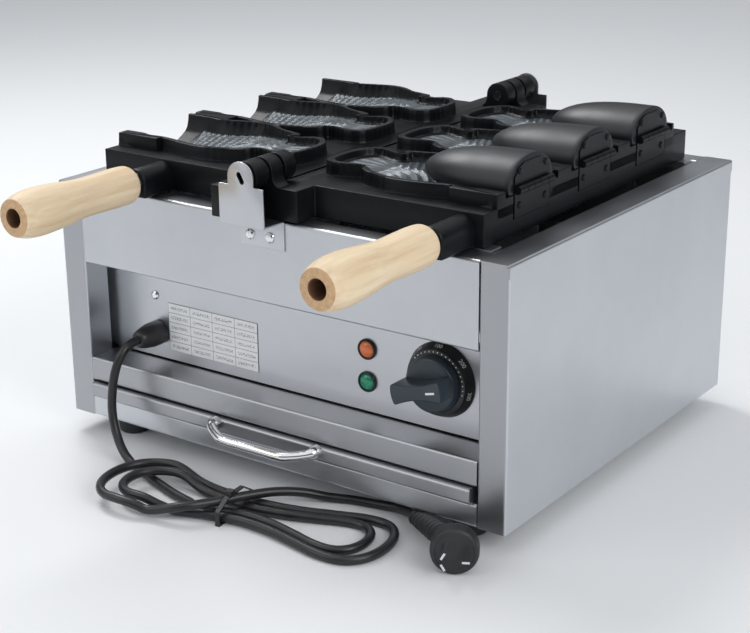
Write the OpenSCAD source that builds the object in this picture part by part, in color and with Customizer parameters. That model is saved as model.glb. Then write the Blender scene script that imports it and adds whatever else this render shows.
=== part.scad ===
// Taiyaki maker: a sheet metal cabinet with two cast plates that swing on one line of
// hinge pins, three fold-out cores, a crumb drawer, a thermostat and a tied mains cord.
// Millimetres. X runs along the front, Y goes back, Z is up, and the feet stand on z = 0.

/* [Cabinet] */
// Width over the side panels
body_w = 500; // [470:1:560]
// Depth from the front apron to the rear apron
body_d = 421; // [405:1:480]
// Height of the sheet metal cabinet without its feet
body_h = 235; // [215:1:270]
// Thickness of the stainless sheet
sheet_t = 1.2; // [0.8:0.1:1.6]
// Radius of the sheet's bends at mid thickness
bend_r = 1.8; // [1.2:0.1:3]
// Width of each corner post's face
post_w = 28; // [24:1:36]
// Depth of the folded front post
post_d = 30; // [24:1:34]
// Height of the front apron
apron_h = 78; // [60:1:88]
// Width of the apron's top flange
apron_flange = 22.4; // [16:0.1:24]
// Width of the side panel's top flange
side_flange = 31; // [29:1:34]
// Depth of the lips that hang from the top flanges
lip_h = 9; // [6:1:14]
// Height of the base strip under the drawer
base_h = 21.2; // [18:0.1:26]
// Height of the drawer's slot
slot_h = 15.7; // [13:0.1:20]
// Height of the shelf's front face over the drawer
shelf_h = 23.7; // [18:0.1:28]
// Seam between two folded sheets
seam = 0.5; // [0.2:0.1:1]

/* [Feet] */
// Height of a foot
foot_h = 20; // [12:1:30]
// Diameter of a foot at the cabinet
foot_d = 36; // [30:1:42]
// Diameter of a foot at the floor
foot_end_d = 30; // [24:1:34]
// Distance of a foot's centre from the cabinet's sides
foot_in = 52; // [42:1:70]
// Distance of a foot's centre from the front and the rear
foot_in_y = 30; // [22:1:60]

/* [Controls] */
// Depth of the control panel behind the apron
panel_y = 36; // [33:1:42]
// Height of the control panel's bottom edge over the shelf
panel_gap = 1.7; // [1:0.1:4]
// Thermostat dial's centre from the cabinet's middle
dial_x = 163; // [120:1:172]
// Thermostat dial's height in the cabinet
dial_z = 109.5; // [102:0.5:114]
// Diameter of the dial ring
dial_d = 68; // [56:1:76]
// Depth of the dial ring
dial_t = 8; // [5:0.5:10]
// Diameter of the knob
knob_d = 46; // [38:1:50]
// Depth of the knob's skirt
knob_skirt = 9; // [7:0.5:12]
// Depth of the knob with its grip bar
knob_h = 29; // [24:1:34]
// Width of the knob's grip bar
knob_bar = 13; // [9:0.5:16]
// Turn of the knob's pointer from the right, as shown
knob_turn = 14; // [0:1:30]
// Diameter of the thermostat's shaft
shaft_d = 6; // [5:0.1:7]
// Signal lamps' centre from the cabinet's middle
lamp_x = 85; // [60:1:100]
// Height of the upper lamp
lamp_top_z = 121; // [116:0.5:130]
// Height of the lower lamp
lamp_low_z = 90.5; // [84:0.5:94]
// Diameter of a lamp's rim
lamp_d = 19; // [15:0.5:22]
// Rating plate's width
plate_label_w = 110; // [80:1:120]
// Rating plate's height
plate_label_h = 48; // [36:1:52]
// Cord gland's centre from the cabinet's middle
gland_x = -163; // [-180:1:-155]
// Cord gland's height
gland_z = 88; // [80:1:96]
// Diameter of the cord gland
gland_d = 24; // [20:1:28]
// Length of the cord gland in front of the panel
gland_len = 32; // [24:1:36]

/* [Plates] */
// Height of the plates' meeting plane and hinge axis over the cabinet
hinge_h = 42; // [40:0.5:46]
// Height of a plate's underside over the cabinet
plate_lift = 1.5; // [1:0.1:3]
// Height of the plate's flat web over the cabinet
web_h = 30; // [27:0.5:32]
// Distance of a plate's inner edge from the hinge axis
plate_in = 2; // [1:0.5:4]
// Distance of a plate's outer edge from the hinge axis
plate_out = 210.5; // [208:0.5:214]
// Length of a plate along the hinge axis
plate_len = 372; // [366:1:384]
// Pitch of the three fish moulds
fish_pitch = 110; // [108:0.5:114]
// Thickness of a mould's wall at the meeting plane
wall_t = 5.5; // [4:0.5:6.5]
// Depth of a mould at the tail end
tail_depth = 9; // [7:0.5:11]
// Depth that a mould gains from the hinge axis to the mouth
mouth_gain = 21; // [16:0.5:22]
// Half width of a mould's mouth
mouth_w = 43; // [41:0.5:46]

/* [Hinge] */
// Radius of a hinge knuckle
knuckle_r = 13; // [11:0.5:14]
// Diameter of the hinge pins
pin_d = 10; // [8:0.5:12]
// Radial running clearance round a pin
pin_gap = 0.08; // [0.03:0.01:0.1]
// Reach of the hinge bracket in front of the apron
bracket_out = 28; // [25:0.5:34]
// Width of the hinge bracket
bracket_w = 49; // [40:1:60]
// Thickness of the hinge bracket
bracket_t = 1.5; // [1.2:0.1:2.5]
// Drop of the bracket's tab over the apron
bracket_tab = 26; // [22:1:36]
// Spacing of the bracket's screws
bracket_pitch = 22; // [16:1:30]
// Play between the bracket and the first knuckle
bracket_play = 4.5; // [1:0.5:5]
// Length of the outer knuckle
knuckle_1 = 18; // [14:0.5:20]
// Length of the middle knuckle
knuckle_2 = 16; // [12:0.5:18]
// Length of the inner knuckle
knuckle_3 = 15; // [12:0.5:18]
// Play between two knuckles
knuckle_play = 3; // [1:0.5:4]
// Width of the ears that carry the knuckles
ear_w = 37; // [30:1:44]

/* [Handles] */
// Length of a wooden grip
grip_len = 148; // [120:1:170]
// Diameter of a grip's outer end
grip_end_d = 32; // [28:1:34]
// Largest diameter of a grip
grip_max_d = 42; // [36:0.5:46]
// Diameter of a grip's waist
grip_waist_d = 34; // [28:0.5:35]
// Diameter of the hole in a grip's end
grip_hole_d = 16; // [14:0.5:20]
// Depth of the hole in a grip's end
grip_hole = 26; // [16:1:40]
// Diameter of a handle rod
rod_d = 11; // [8:0.5:12]
// Depth of the rod in its boss
rod_in = 26; // [16:1:32]
// Width of a handle boss
boss_w = 24; // [20:1:28]
// Height of the handle rods over the cabinet
handle_h = 16; // [13:0.5:20]
// Right handle's distance from the hinge axis
handle_right = 190; // [170:1:194]
// Left handle's distance from the hinge axis
handle_left = 137; // [110:1:150]
// Reach of the right boss in front of the apron
boss_right = 18; // [10:1:22]
// Reach of the left boss in front of the apron
boss_left = 8; // [4:1:14]
// Bare rod between a boss and its grip
rod_bare = 4; // [1:0.5:8]

/* [Cores] */
// Length of a core from its flat end to its tip
core_len = 104; // [90:1:108]
// Half width of a core
core_w = 36.5; // [33:0.5:37]
// Height of a core over the meeting plane
core_up = 24; // [20:0.5:25.5]
// Depth of a core under the meeting plane
core_down = 21; // [17:0.5:22.5]
// Width of the core hinge's leaves
leaf_w = 57; // [46:1:60]
// Thickness of a leaf
leaf_t = 1.5; // [1:0.1:2]
// Height of the lower leaf's bottom edge over the cabinet
leaf_low = 15.5; // [12:0.5:18]
// Height of the upper leaf over the core hinge's axis
leaf_up = 21; // [17:0.5:22]
// Radius of the core hinge's barrel
barrel_r = 3.6; // [3:0.1:4]
// Diameter of the core hinge's pin
core_pin_d = 3.4; // [2.4:0.1:4]
// Depth of the core hinge's axis under the meeting plane
barrel_drop = 2.25; // [1.5:0.05:3]
// Spacing of the leaf screws
leaf_pitch = 42; // [34:1:44]
// Diameter of a leaf screw's head
leaf_screw_d = 6.5; // [5:0.1:7.5]

/* [Heater] */
// Depth of the heater well under the cabinet's top
well_depth = 55; // [45:1:60]
// Diameter of a heating element's tube
element_d = 8; // [6.5:0.1:9]
// Spacing of the element's runs
element_pitch = 40; // [32:1:44]
// Thickness of the insulation board
board_t = 15; // [10:1:20]

/* [Drawer] */
// Width of the drawer's front
drawer_w = 436; // [400:1:438]
// Depth of the drawer's tray
drawer_len = 380; // [300:1:385]
// Sheet thickness of the drawer
drawer_t = 1; // [0.8:0.1:1.2]
// Reach of the drawer's front before the apron
drawer_out = 6; // [4:0.5:9]
// Clearance round the drawer in its slot
drawer_gap = 0.8; // [0.5:0.1:1.5]
// Diameter of the bow handle's bar
bow_d = 9; // [7:0.5:9]
// Width of the bow handle over its feet
bow_w = 117; // [90:1:140]
// Width of the bow handle's straight bar
bow_bar = 58; // [40:1:70]
// Reach of the bow handle from the drawer's front
bow_out = 21; // [18:1:30]

/* [Cord] */
// Diameter of the mains cord
cord_d = 8.5; // [7:0.5:9]
// Diameter of the plug
plug_d = 41; // [36:1:46]
// Thickness of the plug's head
plug_t = 20; // [16:1:24]
// Length of the plug's ribbed sleeve
sleeve_len = 54; // [44:1:60]
// Length of the plug's smooth neck
plug_neck = 30; // [26:1:34]

/* [Hidden] */

// Small clearances and shared cuts
fit = 0.3;
eps = 0.02;
round_fn = 64;

steel = "#c9cdd1";
iron = "#2b2e33";
black = "#17181a";
chrome = "#dfe2e4";

// Cabinet lines: half widths, levels and the middle of the depth
side_x = body_w / 2;
post_x = side_x - post_w;
well_x = side_x - side_flange;
mid_y = body_d / 2;
half_t = sheet_t / 2;
bend_out = bend_r + half_t;
slot_z = base_h + slot_h;
shelf_z = slot_z + shelf_h;
apron_z = body_h - apron_h;
fold_x = post_x - seam;

// Plates and hinge, measured from the cabinet's top
axis_z = body_h + hinge_h;
rim_z = axis_z - 0.1;
web_z = body_h + web_h;
under_z = body_h + plate_lift;
slab_y = mid_y - plate_len / 2;
k1_y = -bracket_out + bracket_t + bracket_play;
k1_end = k1_y + knuckle_1;
k2_y = k1_end + knuckle_play;
k2_end = k2_y + knuckle_2;
k3_y = k2_end + knuckle_play;
k3_end = k3_y + knuckle_3;
fish_y = [mid_y - fish_pitch, mid_y, mid_y + fish_pitch];

// Core hinges: the lower leaf lies in a pocket in the plate's side
pocket_x = plate_out - leaf_t;
core_axis_x = pocket_x + fit + barrel_r;
core_axis_z = axis_z - barrel_drop;
end_wall = 5;
end_wall_z = core_axis_z - barrel_r - 0.4;

// Handles: the boss's front face and the grip's outer end, as distances in front of y = 0
grip_end_right = boss_right + rod_bare + grip_len;
grip_end_left = boss_left + rod_bare + grip_len;
front_tip = max(grip_end_right, grip_end_left);
y_mid = (body_d + bracket_out - front_tip) / 2;

// Heater well: the tray hangs inside the lips
tray_x = well_x - fit;
tray_y = apron_flange + fit;
tray_z = body_h - well_depth;
element_z = under_z - fit - element_d / 2;
rail_h = 18;
board_z = tray_z - fit - board_t;

// Drawer levels
tray_low = base_h + drawer_gap;
tray_top = slot_z - drawer_gap;

function unit(v) = v / norm(v);
function left(v) = [-v.y, v.x];
function spin(v, a) = [v.x * cos(a) - v.y * sin(a), v.x * sin(a) + v.y * cos(a)];
function lerp(a, b, f) = a + (b - a) * f;

// Centre line samples of a folded strip, each with its normal
function corner(a, b, c, r) =
    let (d1 = unit(b - a), d2 = unit(c - b))
    let (way = d1.x * d2.y > d1.y * d2.x ? 1 : -1, turn = acos(d1 * d2))
    let (centre = b - d1 * r * tan(turn / 2) + left(d1) * r * way)
    [for (k = [0:4]) let (n = spin(left(d1), way * turn * k / 4)) [centre - n * r * way, n]];
function strip(p, r) = concat(
    [[p[0], left(unit(p[1] - p[0]))]],
    [for (i = [1:len(p) - 2]) each corner(p[i - 1], p[i], p[i + 1], r)],
    [[p[len(p) - 1], left(unit(p[len(p) - 1] - p[len(p) - 2]))]]);

// Closed outline moved outwards by d, for outlines that run anticlockwise
function grow(p, d) = [for (i = [0:len(p) - 1])
    let (n = len(p), a = unit(p[i] - p[(i + n - 1) % n]), b = unit(p[(i + 1) % n] - p[i]))
    p[i] - (left(a) + left(b)) * d / max(0.9, 1 + a * b)];

// Smooth open curve through the given points
function blend(a, b, c, d, f) =
    (2 * b + (c - a) * f + (2 * a - 5 * b + 4 * c - d) * f * f
    + (3 * b - a - 3 * c + d) * f * f * f) / 2;
function curve(p, steps) = let (n = len(p)) concat(
    [for (i = [0:n - 2], k = [0:steps - 1])
        blend(p[max(i - 1, 0)], p[i], p[i + 1], p[min(i + 2, n - 1)], k / steps)],
    [p[n - 1]]);

// Swept tube: directions, side vectors carried along the path, and rings
function heading(p, i) = let (n = len(p))
    i == 0 ? unit(p[1] - p[0]) : i == n - 1 ? unit(p[n - 1] - p[n - 2])
    : unit(unit(p[i] - p[i - 1]) + unit(p[i + 1] - p[i]));
function level(v, t) = unit(v - t * (v * t));
function sides_of(p) = let (n = len(p), first = abs(heading(p, 0).z) > 0.9 ? [1, 0, 0] : [0, 0, 1])
    [for (i = 0, u = level(first, heading(p, 0)); i < n;
        i = i + 1, u = level(u, heading(p, min(i, n - 1)))) u];

module tube(p, r, n) {
    u = sides_of(p);
    rings = len(p);
    points = [for (i = [0:rings - 1], k = [0:n - 1])
        let (v = cross(heading(p, i), u[i])) p[i] + r * (cos(360 * k / n) * u[i] + sin(360 * k / n) * v)];
    walls = [for (i = [0:rings - 2], k = [0:n - 1]) let (a = i * n, b = a + n, m = (k + 1) % n)
        each [[b + m, a + m, a + k], [b + k, b + m, a + k]]];
    ends = [[for (k = [0:n - 1]) k], [for (k = [n - 1:-1:0]) (rings - 1) * n + k]];
    polyhedron(points, concat(walls, ends), convexity = 8);
}

module bent(p, t = sheet_t, r = bend_r) {
    s = strip(p, r);
    polygon(concat([for (q = s) q[0] + q[1] * t / 2],
        [for (i = [len(s) - 1:-1:0]) s[i][0] - s[i][1] * t / 2]));
}

module along_x(x0, x1) translate([x0, 0, 0]) rotate([90, 0, 90]) linear_extrude(x1 - x0) children();
module along_y(y0, y1) translate([0, y1, 0]) rotate([90, 0, 0]) linear_extrude(y1 - y0) children();
module rod_y(x, z, y0, y1, d) translate([x, y0, z]) rotate([-90, 0, 0]) cylinder(h = y1 - y0, d = d, $fn = round_fn);
module rod_x(y, z, x0, x1, d) translate([x0, y, z]) rotate([0, 90, 0]) cylinder(h = x1 - x0, d = d, $fn = round_fn);
module handed(s) if (s > 0) children(); else mirror([1, 0, 0]) children();
module rear_copy() translate([0, body_d, 0]) mirror([0, 1, 0]) children();
module both_ends() { children(); rear_copy() children(); }
module both_sides() { children(); mirror([1, 0, 0]) children(); }
module place() translate([0, -y_mid, foot_h]) children();

// Screw with a low dome head on a face that looks along -Y, its head's seat at y
module dome_screw(x, z, y, head_d, shank_d, len) translate([x, y, z]) rotate([90, 0, 0]) {
    translate([0, 0, -len]) cylinder(h = len + eps, d = shank_d, $fn = 24);
    rotate_extrude($fn = 40) polygon([[0, 0], [head_d / 2, 0], [head_d * 0.46, head_d * 0.13],
        [head_d * 0.3, head_d * 0.23], [0, head_d * 0.27]]);
}

// Side panel with its folded front post, rear post and top flange
module side_panel(s) color(steel) handed(s) difference() {
    side_folds();
    cover_places() rod_y(0, 0, body_d - 3, body_d + 1, cover_shank + 0.4);
}
module side_folds() {
    linear_extrude(body_h - bend_out) bent([[post_x + 16, post_d - half_t],
        [post_x + half_t, post_d - half_t], [post_x + half_t, half_t], [side_x - half_t, half_t],
        [side_x - half_t, body_d - half_t], [post_x, body_d - half_t]]);
    linear_extrude(body_h) bent([[post_x + 16, post_d - half_t], [post_x + half_t, post_d - half_t],
        [post_x + half_t, half_t], [side_x - bend_out, half_t]]);
    translate([post_x, body_d - sheet_t, 0]) cube([post_w - bend_out, sheet_t, body_h]);
    along_y(0, body_d) bent([[side_x - half_t, body_h - lip_h - bend_out],
        [side_x - half_t, body_h - half_t], [post_x, body_h - half_t]]);
    along_y(apron_flange + seam, body_d - apron_flange - seam)
        bent([[post_x + 6, body_h - half_t], [well_x + half_t, body_h - half_t],
            [well_x + half_t, body_h - lip_h]]);
}
module side_panel_left() side_panel(-1);
module side_panel_right() side_panel(1);

// Apron between the posts, with a bottom return and a top flange with its lip
module apron() color(steel) difference() {
    along_x(-fold_x, fold_x) bent([[18, apron_z + half_t], [half_t, apron_z + half_t],
        [half_t, body_h - half_t], [apron_flange - half_t, body_h - half_t],
        [apron_flange - half_t, body_h - lip_h]]);
    for (s = [-1, 1]) rod_y(s * bracket_pitch / 2 - 2, screw_z, -1, 3, screw_shank + 0.4);
}
module front_apron() apron();
module rear_apron() rear_copy() apron();

// Recessed panel that carries the controls, folded forwards at its ends
module control_panel() color(steel) difference() {
    translate([0, 0, shelf_z + panel_gap]) linear_extrude(board_z - 2 - shelf_z - panel_gap)
        bent([[-post_x - 12, post_d + fit], [-post_x - 12, panel_y + half_t],
            [post_x + 12, panel_y + half_t], [post_x + 12, post_d + fit]]);
    rod_y(dial_x, dial_z, panel_y - 1, panel_y + 3, bush_d + 0.4);
    rod_y(gland_x, gland_z, panel_y - 1, panel_y + 3, gland_neck + 0.4);
    for (z = [lamp_top_z, lamp_low_z]) rod_y(lamp_x, z, panel_y - 1, panel_y + 3, lamp_neck + 0.4);
    rod_y(earth_x, earth_z, panel_y - 1, panel_y + 3, cover_shank + 0.4);
}
bush_d = 10;
gland_neck = 16;
lamp_neck = lamp_d - 5;
earth_x = -166.5;
earth_z = 124.5;

// Shelf over the drawer: front face, floor of the recess, and a lip behind the panel
module front_shelf() color(steel) along_x(-fold_x, fold_x)
    bent([[18, slot_z + half_t], [half_t, slot_z + half_t], [half_t, shelf_z - half_t],
        [panel_y + 10, shelf_z - half_t], [panel_y + 10, shelf_z + 12]]);

// Base pan: front and rear strips, floor and side wings
module base_pan() color(steel) difference() {
    union() {
        along_x(-fold_x, fold_x) bent([[12, base_h - half_t], [half_t, base_h - half_t],
            [half_t, half_t], [body_d - half_t, half_t], [body_d - half_t, base_h - half_t],
            [body_d - 12, base_h - half_t]]);
        translate([-side_x + sheet_t + fit, post_d + fit, 0])
            cube([body_w - 2 * sheet_t - 2 * fit, body_d - post_d - sheet_t - 2 * fit, sheet_t]);
    }
    feet_places() translate([0, 0, -1]) cylinder(h = 4, d = foot_bolt + 0.4, $fn = round_fn);
}
foot_bolt = 6;

module feet_places() for (s = [-1, 1], y = [foot_in_y, body_d - foot_in_y])
    translate([s * (side_x - foot_in), y, 0]) children();

// Rear cover with two banks of vent slots, screwed onto the rear posts
module back_panel() color(steel) difference() {
    translate([-side_x + 6, body_d, base_h + 2])
        cube([body_w - 12, sheet_t, apron_z - base_h + 10]);
    for (s = [-1, 1], k = [0:7]) translate([s * 105 - vent_w / 2, body_d - 1, 70 + 9 * k])
        cube([vent_w, 4, 4]);
    cover_places() rod_y(0, 0, body_d - 1, body_d + 3, cover_shank + 0.4);
}
vent_w = 120;
cover_shank = 4;

module cover_places() for (s = [-1, 1], z = [base_h + 10, apron_z + 4])
    translate([s * (side_x - 15), 0, z]) children();

// Cabinet screws: four at the rear, the one on the control panel and those of the feet
module cabinet_screws() color(chrome) {
    cover_places() translate([0, 2 * body_d + sheet_t, 0]) mirror([0, 1, 0])
        dome_screw(0, 0, body_d, 9, cover_shank, 8);
    dome_screw(earth_x, earth_z, panel_y, 9, cover_shank, 12);
    foot_screws();
}

// Well under the plates, with a flange that hangs on the top flanges' lips
module heater_well() color("#8d9094") difference() {
    translate([-tray_x, tray_y, tray_z])
        cube([2 * tray_x, body_d - 2 * tray_y, well_depth - lip_h]);
    translate([-tray_x + sheet_t, tray_y + sheet_t, tray_z + sheet_t])
        cube([2 * tray_x - 2 * sheet_t, body_d - 2 * tray_y - 2 * sheet_t, well_depth]);
    for (s = [-1, 1], k = [0, 3]) translate([s * element_run(k), element_y, tray_z - 1])
        cylinder(h = 5, d = element_d + 3, $fn = round_fn);
    translate([probe_x, probe_y, tray_z - 1]) cylinder(h = 5, d = 5, $fn = round_fn);
}

// Cross rails that carry the insulation board and the well
module well_rails() color(steel) for (y = [90, body_d - 90])
    translate([0, y, 0]) along_x(-side_x + sheet_t + fit, side_x - sheet_t - fit)
        bent([[-14, board_z - fit - rail_h], [-14, board_z - fit - half_t],
            [14, board_z - fit - half_t], [14, board_z - fit - rail_h]]);

module insulation_board() color("#e8e3d6") difference() {
    translate([-tray_x, tray_y, board_z]) cube([2 * tray_x, body_d - 2 * tray_y, board_t]);
    for (s = [-1, 1], k = [0, 3]) translate([s * element_run(k), element_y, board_z - 1])
        cylinder(h = board_t + 2, d = element_d + 3, $fn = round_fn);
    translate([probe_x, probe_y, board_z - 1]) cylinder(h = board_t + 2, d = 5, $fn = round_fn);
}

// Each element runs back and forth four times under its plate, then drops through the floor
element_y = tray_y + 34;
element_back = body_d - tray_y - 40;
function element_run(k) = (plate_in + plate_out) / 2 + (k - 1.5) * element_pitch;
module element_bend(x, y, way) translate([x, y, element_z]) rotate([0, 0, way > 0 ? 0 : 180])
    rotate_extrude(angle = 180, $fn = round_fn) translate([element_pitch / 2, 0]) circle(d = element_d, $fn = 32);
module heating_elements() color("#6d6a66") both_sides() {
    for (k = [0:3]) rod_y(element_run(k), element_z, k == 0 || k == 3 ? element_y + 12 : element_y + 30,
        element_back, element_d);
    for (k = [0, 2]) element_bend((element_run(k) + element_run(k + 1)) / 2, element_back, 1);
    element_bend((element_run(1) + element_run(2)) / 2, element_y + 30, -1);
    for (k = [0, 3]) translate([element_run(k), element_y + 12, element_z - 12]) {
        rotate([90, 0, -90]) rotate_extrude(angle = 90, $fn = round_fn) translate([12, 0])
            circle(d = element_d, $fn = 32);
        translate([0, -12, board_z - 14 - element_z + 12])
            cylinder(h = element_z - 12 - board_z + 14, d = element_d, $fn = 32);
    }
}

// Notched strips that carry the elements, and angles that the plates rest on
module element_supports() color(steel) for (y = [120, body_d - 120]) difference() {
    translate([-tray_x + sheet_t + 12, y - 1, tray_z + sheet_t])
        cube([2 * (tray_x - sheet_t - 12), 2, element_z - tray_z - sheet_t + 1]);
    for (s = [-1, 1], k = [0:3]) rod_y(s * element_run(k), element_z, y - 2, y + 2, element_d + 2 * fit);
}
module plate_rests() color(steel) for (s = [-1, 1], e = [0, 1]) handed(s)
    translate([0, e * (body_d - 2 * tray_y) + tray_y, 0]) mirror([0, e, 0])
    translate([tray_x - sheet_t - 12, sheet_t, tray_z + sheet_t])
    cube([12, 16, under_z - fit - tray_z - sheet_t]);

// Hinge bracket: lobe round the pin, shelf back to the cabinet and a screwed tab
screw_z = body_h - bracket_tab * 0.6;
screw_shank = 5;
module hinge_bracket() color(chrome) difference() {
    union() {
        along_x(-bracket_w / 2, bracket_w / 2)
            bent([[bracket_t / 2 - bracket_out, axis_z - 7], [bracket_t / 2 - bracket_out, body_h + bracket_t / 2],
                [-bracket_t / 2, body_h + bracket_t / 2], [-bracket_t / 2, body_h - bracket_tab]],
                t = bracket_t);
        along_y(-bracket_out, -bracket_out + bracket_t) {
            translate([0, axis_z]) circle(r = knuckle_r + 1, $fn = round_fn);
            translate([-knuckle_r - 1, axis_z - 14]) square([2 * knuckle_r + 2, 14]);
        }
    }
    rod_y(0, axis_z, -bracket_out - 1, -bracket_out + 3, pin_neck + 2 * pin_gap);
    for (s = [-1, 1]) rod_y(s * bracket_pitch / 2 - 2, screw_z, -3, 1, screw_shank + 0.4);
}
pin_neck = pin_d - 2;
module hinge_bracket_front() hinge_bracket();
module hinge_bracket_back() rear_copy() hinge_bracket();

// Hinge pin: a neck riveted in the bracket, a shoulder, and the shank through three knuckles
module hinge_pin() color(chrome) {
    rod_y(0, axis_z, -bracket_out, -bracket_out + bracket_t + 1, pin_neck);
    rod_y(0, axis_z, -bracket_out + bracket_t, k3_end + 1, pin_d);
    rod_y(0, axis_z, -bracket_out + bracket_t, k1_y - fit, pin_d + 6);
}
module hinge_pin_front() hinge_pin();
module hinge_pin_back() rear_copy() hinge_pin();

module bracket_screws() color(chrome) both_ends() for (s = [-1, 1])
    dome_screw(s * bracket_pitch / 2 - 2, screw_z, -bracket_t, 10, screw_shank, 10);

// Rubber feet with a counterbore, and the screws that hold them
module feet() color(black) feet_places() difference() {
    rotate_extrude($fn = round_fn) polygon([[0, -foot_h], [foot_end_d / 2 - 1.5, -foot_h],
        [foot_end_d / 2, 1.5 - foot_h], [foot_d / 2 - 1, -2], [foot_d / 2, 0], [0, 0]]);
    translate([0, 0, -foot_h - 1]) cylinder(h = foot_h + 2, d = foot_bolt + 0.4, $fn = round_fn);
    translate([0, 0, -foot_h - 1]) cylinder(h = foot_h - 5, d = 16, $fn = round_fn);
}
module foot_screws() feet_places() {
    translate([0, 0, -10]) cylinder(h = 4, d = 13, $fn = 40);
    translate([0, 0, -6 - eps]) cylinder(h = 12, d = foot_bolt, $fn = 24);
    translate([0, 0, sheet_t]) cylinder(h = 4.5, d = 11, $fn = 6);
}

// Bell shaped gland round the cord, with its neck and nut through the panel
module cord_gland() color(black) translate([gland_x, panel_y, gland_z]) rotate([90, 0, 0]) difference() {
    rotate_extrude($fn = round_fn) polygon([[0, -10], [gland_d / 2 - 1, -10], [gland_d / 2 - 1, -4],
        [gland_neck / 2, -4], [gland_neck / 2, 0], [gland_d / 2, 0], [gland_d / 2, gland_len * 0.45],
        [gland_d * 0.44, gland_len * 0.7], [gland_d * 0.36, gland_len * 0.92], [cord_d / 2 + 2, gland_len],
        [0, gland_len]]);
    translate([0, 0, -11]) cylinder(h = 11 + gland_len - cord_seat, d = cord_d - 2, $fn = 32);
    translate([0, 0, gland_len - cord_seat]) cylinder(h = cord_seat + 1, d = cord_d + 0.6, $fn = 32);
}
cord_seat = 6;

module lamp_bezels() color(black) for (z = [lamp_top_z, lamp_low_z])
    translate([lamp_x, panel_y, z]) rotate([90, 0, 0]) difference() {
        rotate_extrude($fn = round_fn) polygon([[0, -26], [lamp_neck / 2, -26], [lamp_neck / 2, 0],
            [lamp_d / 2, 0], [lamp_d / 2, 2], [lamp_d / 2 - 1.5, 3.2], [0, 3.2]]);
        translate([0, 0, -8]) cylinder(h = 20, d = lens_d + 0.2, $fn = round_fn);
    }
lens_d = lamp_neck - 1.5;
module lens(z) translate([lamp_x, panel_y, z]) rotate([90, 0, 0]) rotate_extrude($fn = round_fn)
    polygon([[0, -8], [lens_d / 2, -8], [lens_d / 2, 3], [lens_d * 0.42, 5], [lens_d * 0.25, 6.4], [0, 7]]);
module lamp_orange() color("#d8632a") lens(lamp_top_z);
module lamp_green() color("#157a4a") lens(lamp_low_z);

// Dial ring with a raised hub, bored for the shaft
module dial_bezel() color(black) translate([dial_x, panel_y, dial_z]) rotate([90, 0, 0]) difference() {
    rotate_extrude($fn = 96) polygon([[0, 0], [dial_d / 2, 0], [dial_d / 2, dial_t - 3],
        [dial_d / 2 - 2, dial_t - 0.6], [dial_d / 2 - 4, dial_t], [hub_r, dial_t],
        [hub_r - 1.5, dial_t + 2], [0, dial_t + 2]]);
    translate([0, 0, -1]) cylinder(h = dial_t + 4, d = bush_d + 0.4, $fn = round_fn);
}
hub_r = knob_d / 2 + 3;
knob_y = panel_y - dial_t - 2 - fit;

module thermostat_body() color("#b9b4a6") difference() {
    union() {
        translate([dial_x - 20, panel_y + sheet_t + fit, dial_z - 18]) cube([40, 30, 36]);
        rod_y(dial_x, dial_z, knob_y + 1.5, panel_y + sheet_t + 2, bush_d);
    }
    rod_y(dial_x, dial_z, knob_y, panel_y + 24, shaft_d + 2 * pin_gap);
}

// Sensing bulb under the left plate, with its capillary up from the thermostat
probe_x = 60;
probe_y = tray_y + 20;
module thermostat_probe() color("#b87333") {
    tube([[dial_x - 12, panel_y + 30 + sheet_t + fit, dial_z], [dial_x - 12, panel_y + 44, dial_z],
        [120, panel_y + 50, dial_z + 6], [80, panel_y + 30, dial_z + 24], [probe_x, probe_y, dial_z + 36],
        [probe_x, probe_y, tray_z + 16], [probe_x - 4, probe_y, tray_z + 24],
        [probe_x - 12, probe_y, tray_z + 28], [probe_x - 20, probe_y, tray_z + 28]], 1.2, 8);
    rod_x(probe_y, tray_z + 28, probe_x - 130, probe_x - 20, 6);
    for (x = [probe_x - 110, probe_x - 40]) translate([x, probe_y - 4, tray_z + sheet_t]) difference() {
        cube([3, 8, 30]);
        translate([-1, 4, 28 - sheet_t]) rotate([0, 90, 0]) cylinder(h = 5, d = 6 + 2 * eps, $fn = 32);
    }
}

module rating_plate() color("#d5d7d8") translate([-95 - plate_label_w / 2, panel_y - 0.6, 96 - plate_label_h / 2])
    cube([plate_label_w, 0.6, plate_label_h]);

module terminal_block() color("#efe9dc") difference() {
    translate([earth_x - 16, panel_y + sheet_t + fit, earth_z - 10]) cube([60, 20, 20]);
    rod_y(earth_x, earth_z, panel_y, panel_y + 16, cover_shank + 0.4);
    for (k = [0:2]) rod_y(earth_x + 12 + 12 * k, earth_z, panel_y + 12, panel_y + 30, 6);
}

// Leads from the gland to the terminal block, and on to the thermostat
module wiring() color("#3a3a3c") {
    for (k = [0:2]) tube([[gland_x + 4 * k - 4, panel_y + 10 + fit, gland_z], [gland_x + 6 * k, panel_y + 26, gland_z + 6],
        [gland_x + 10 * k + 4, panel_y + 40, gland_z + 24], [earth_x + 12 + 12 * k, panel_y + 34, earth_z],
        [earth_x + 12 + 12 * k, panel_y + 12 + fit, earth_z]], 1.5, 6);
    tube([[earth_x + 44 + fit, panel_y + 12, earth_z - 5], [earth_x + 70, panel_y + 14, earth_z - 6],
        [-40, panel_y + 20, earth_z - 14], [40, panel_y + 22, 106], [110, panel_y + 20, 106],
        [dial_x - 20 - fit, panel_y + 16, 106]], 2.5, 8);
}

module drawer_runners() color(steel) both_sides() along_y(post_d + 2, body_d - 20)
    bent([[fold_x - 12, sheet_t + half_t + fit], [fold_x - half_t, sheet_t + half_t + fit],
        [fold_x - half_t, tray_low - fit - half_t], [fold_x - 12, tray_low - fit - half_t]]);

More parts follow.
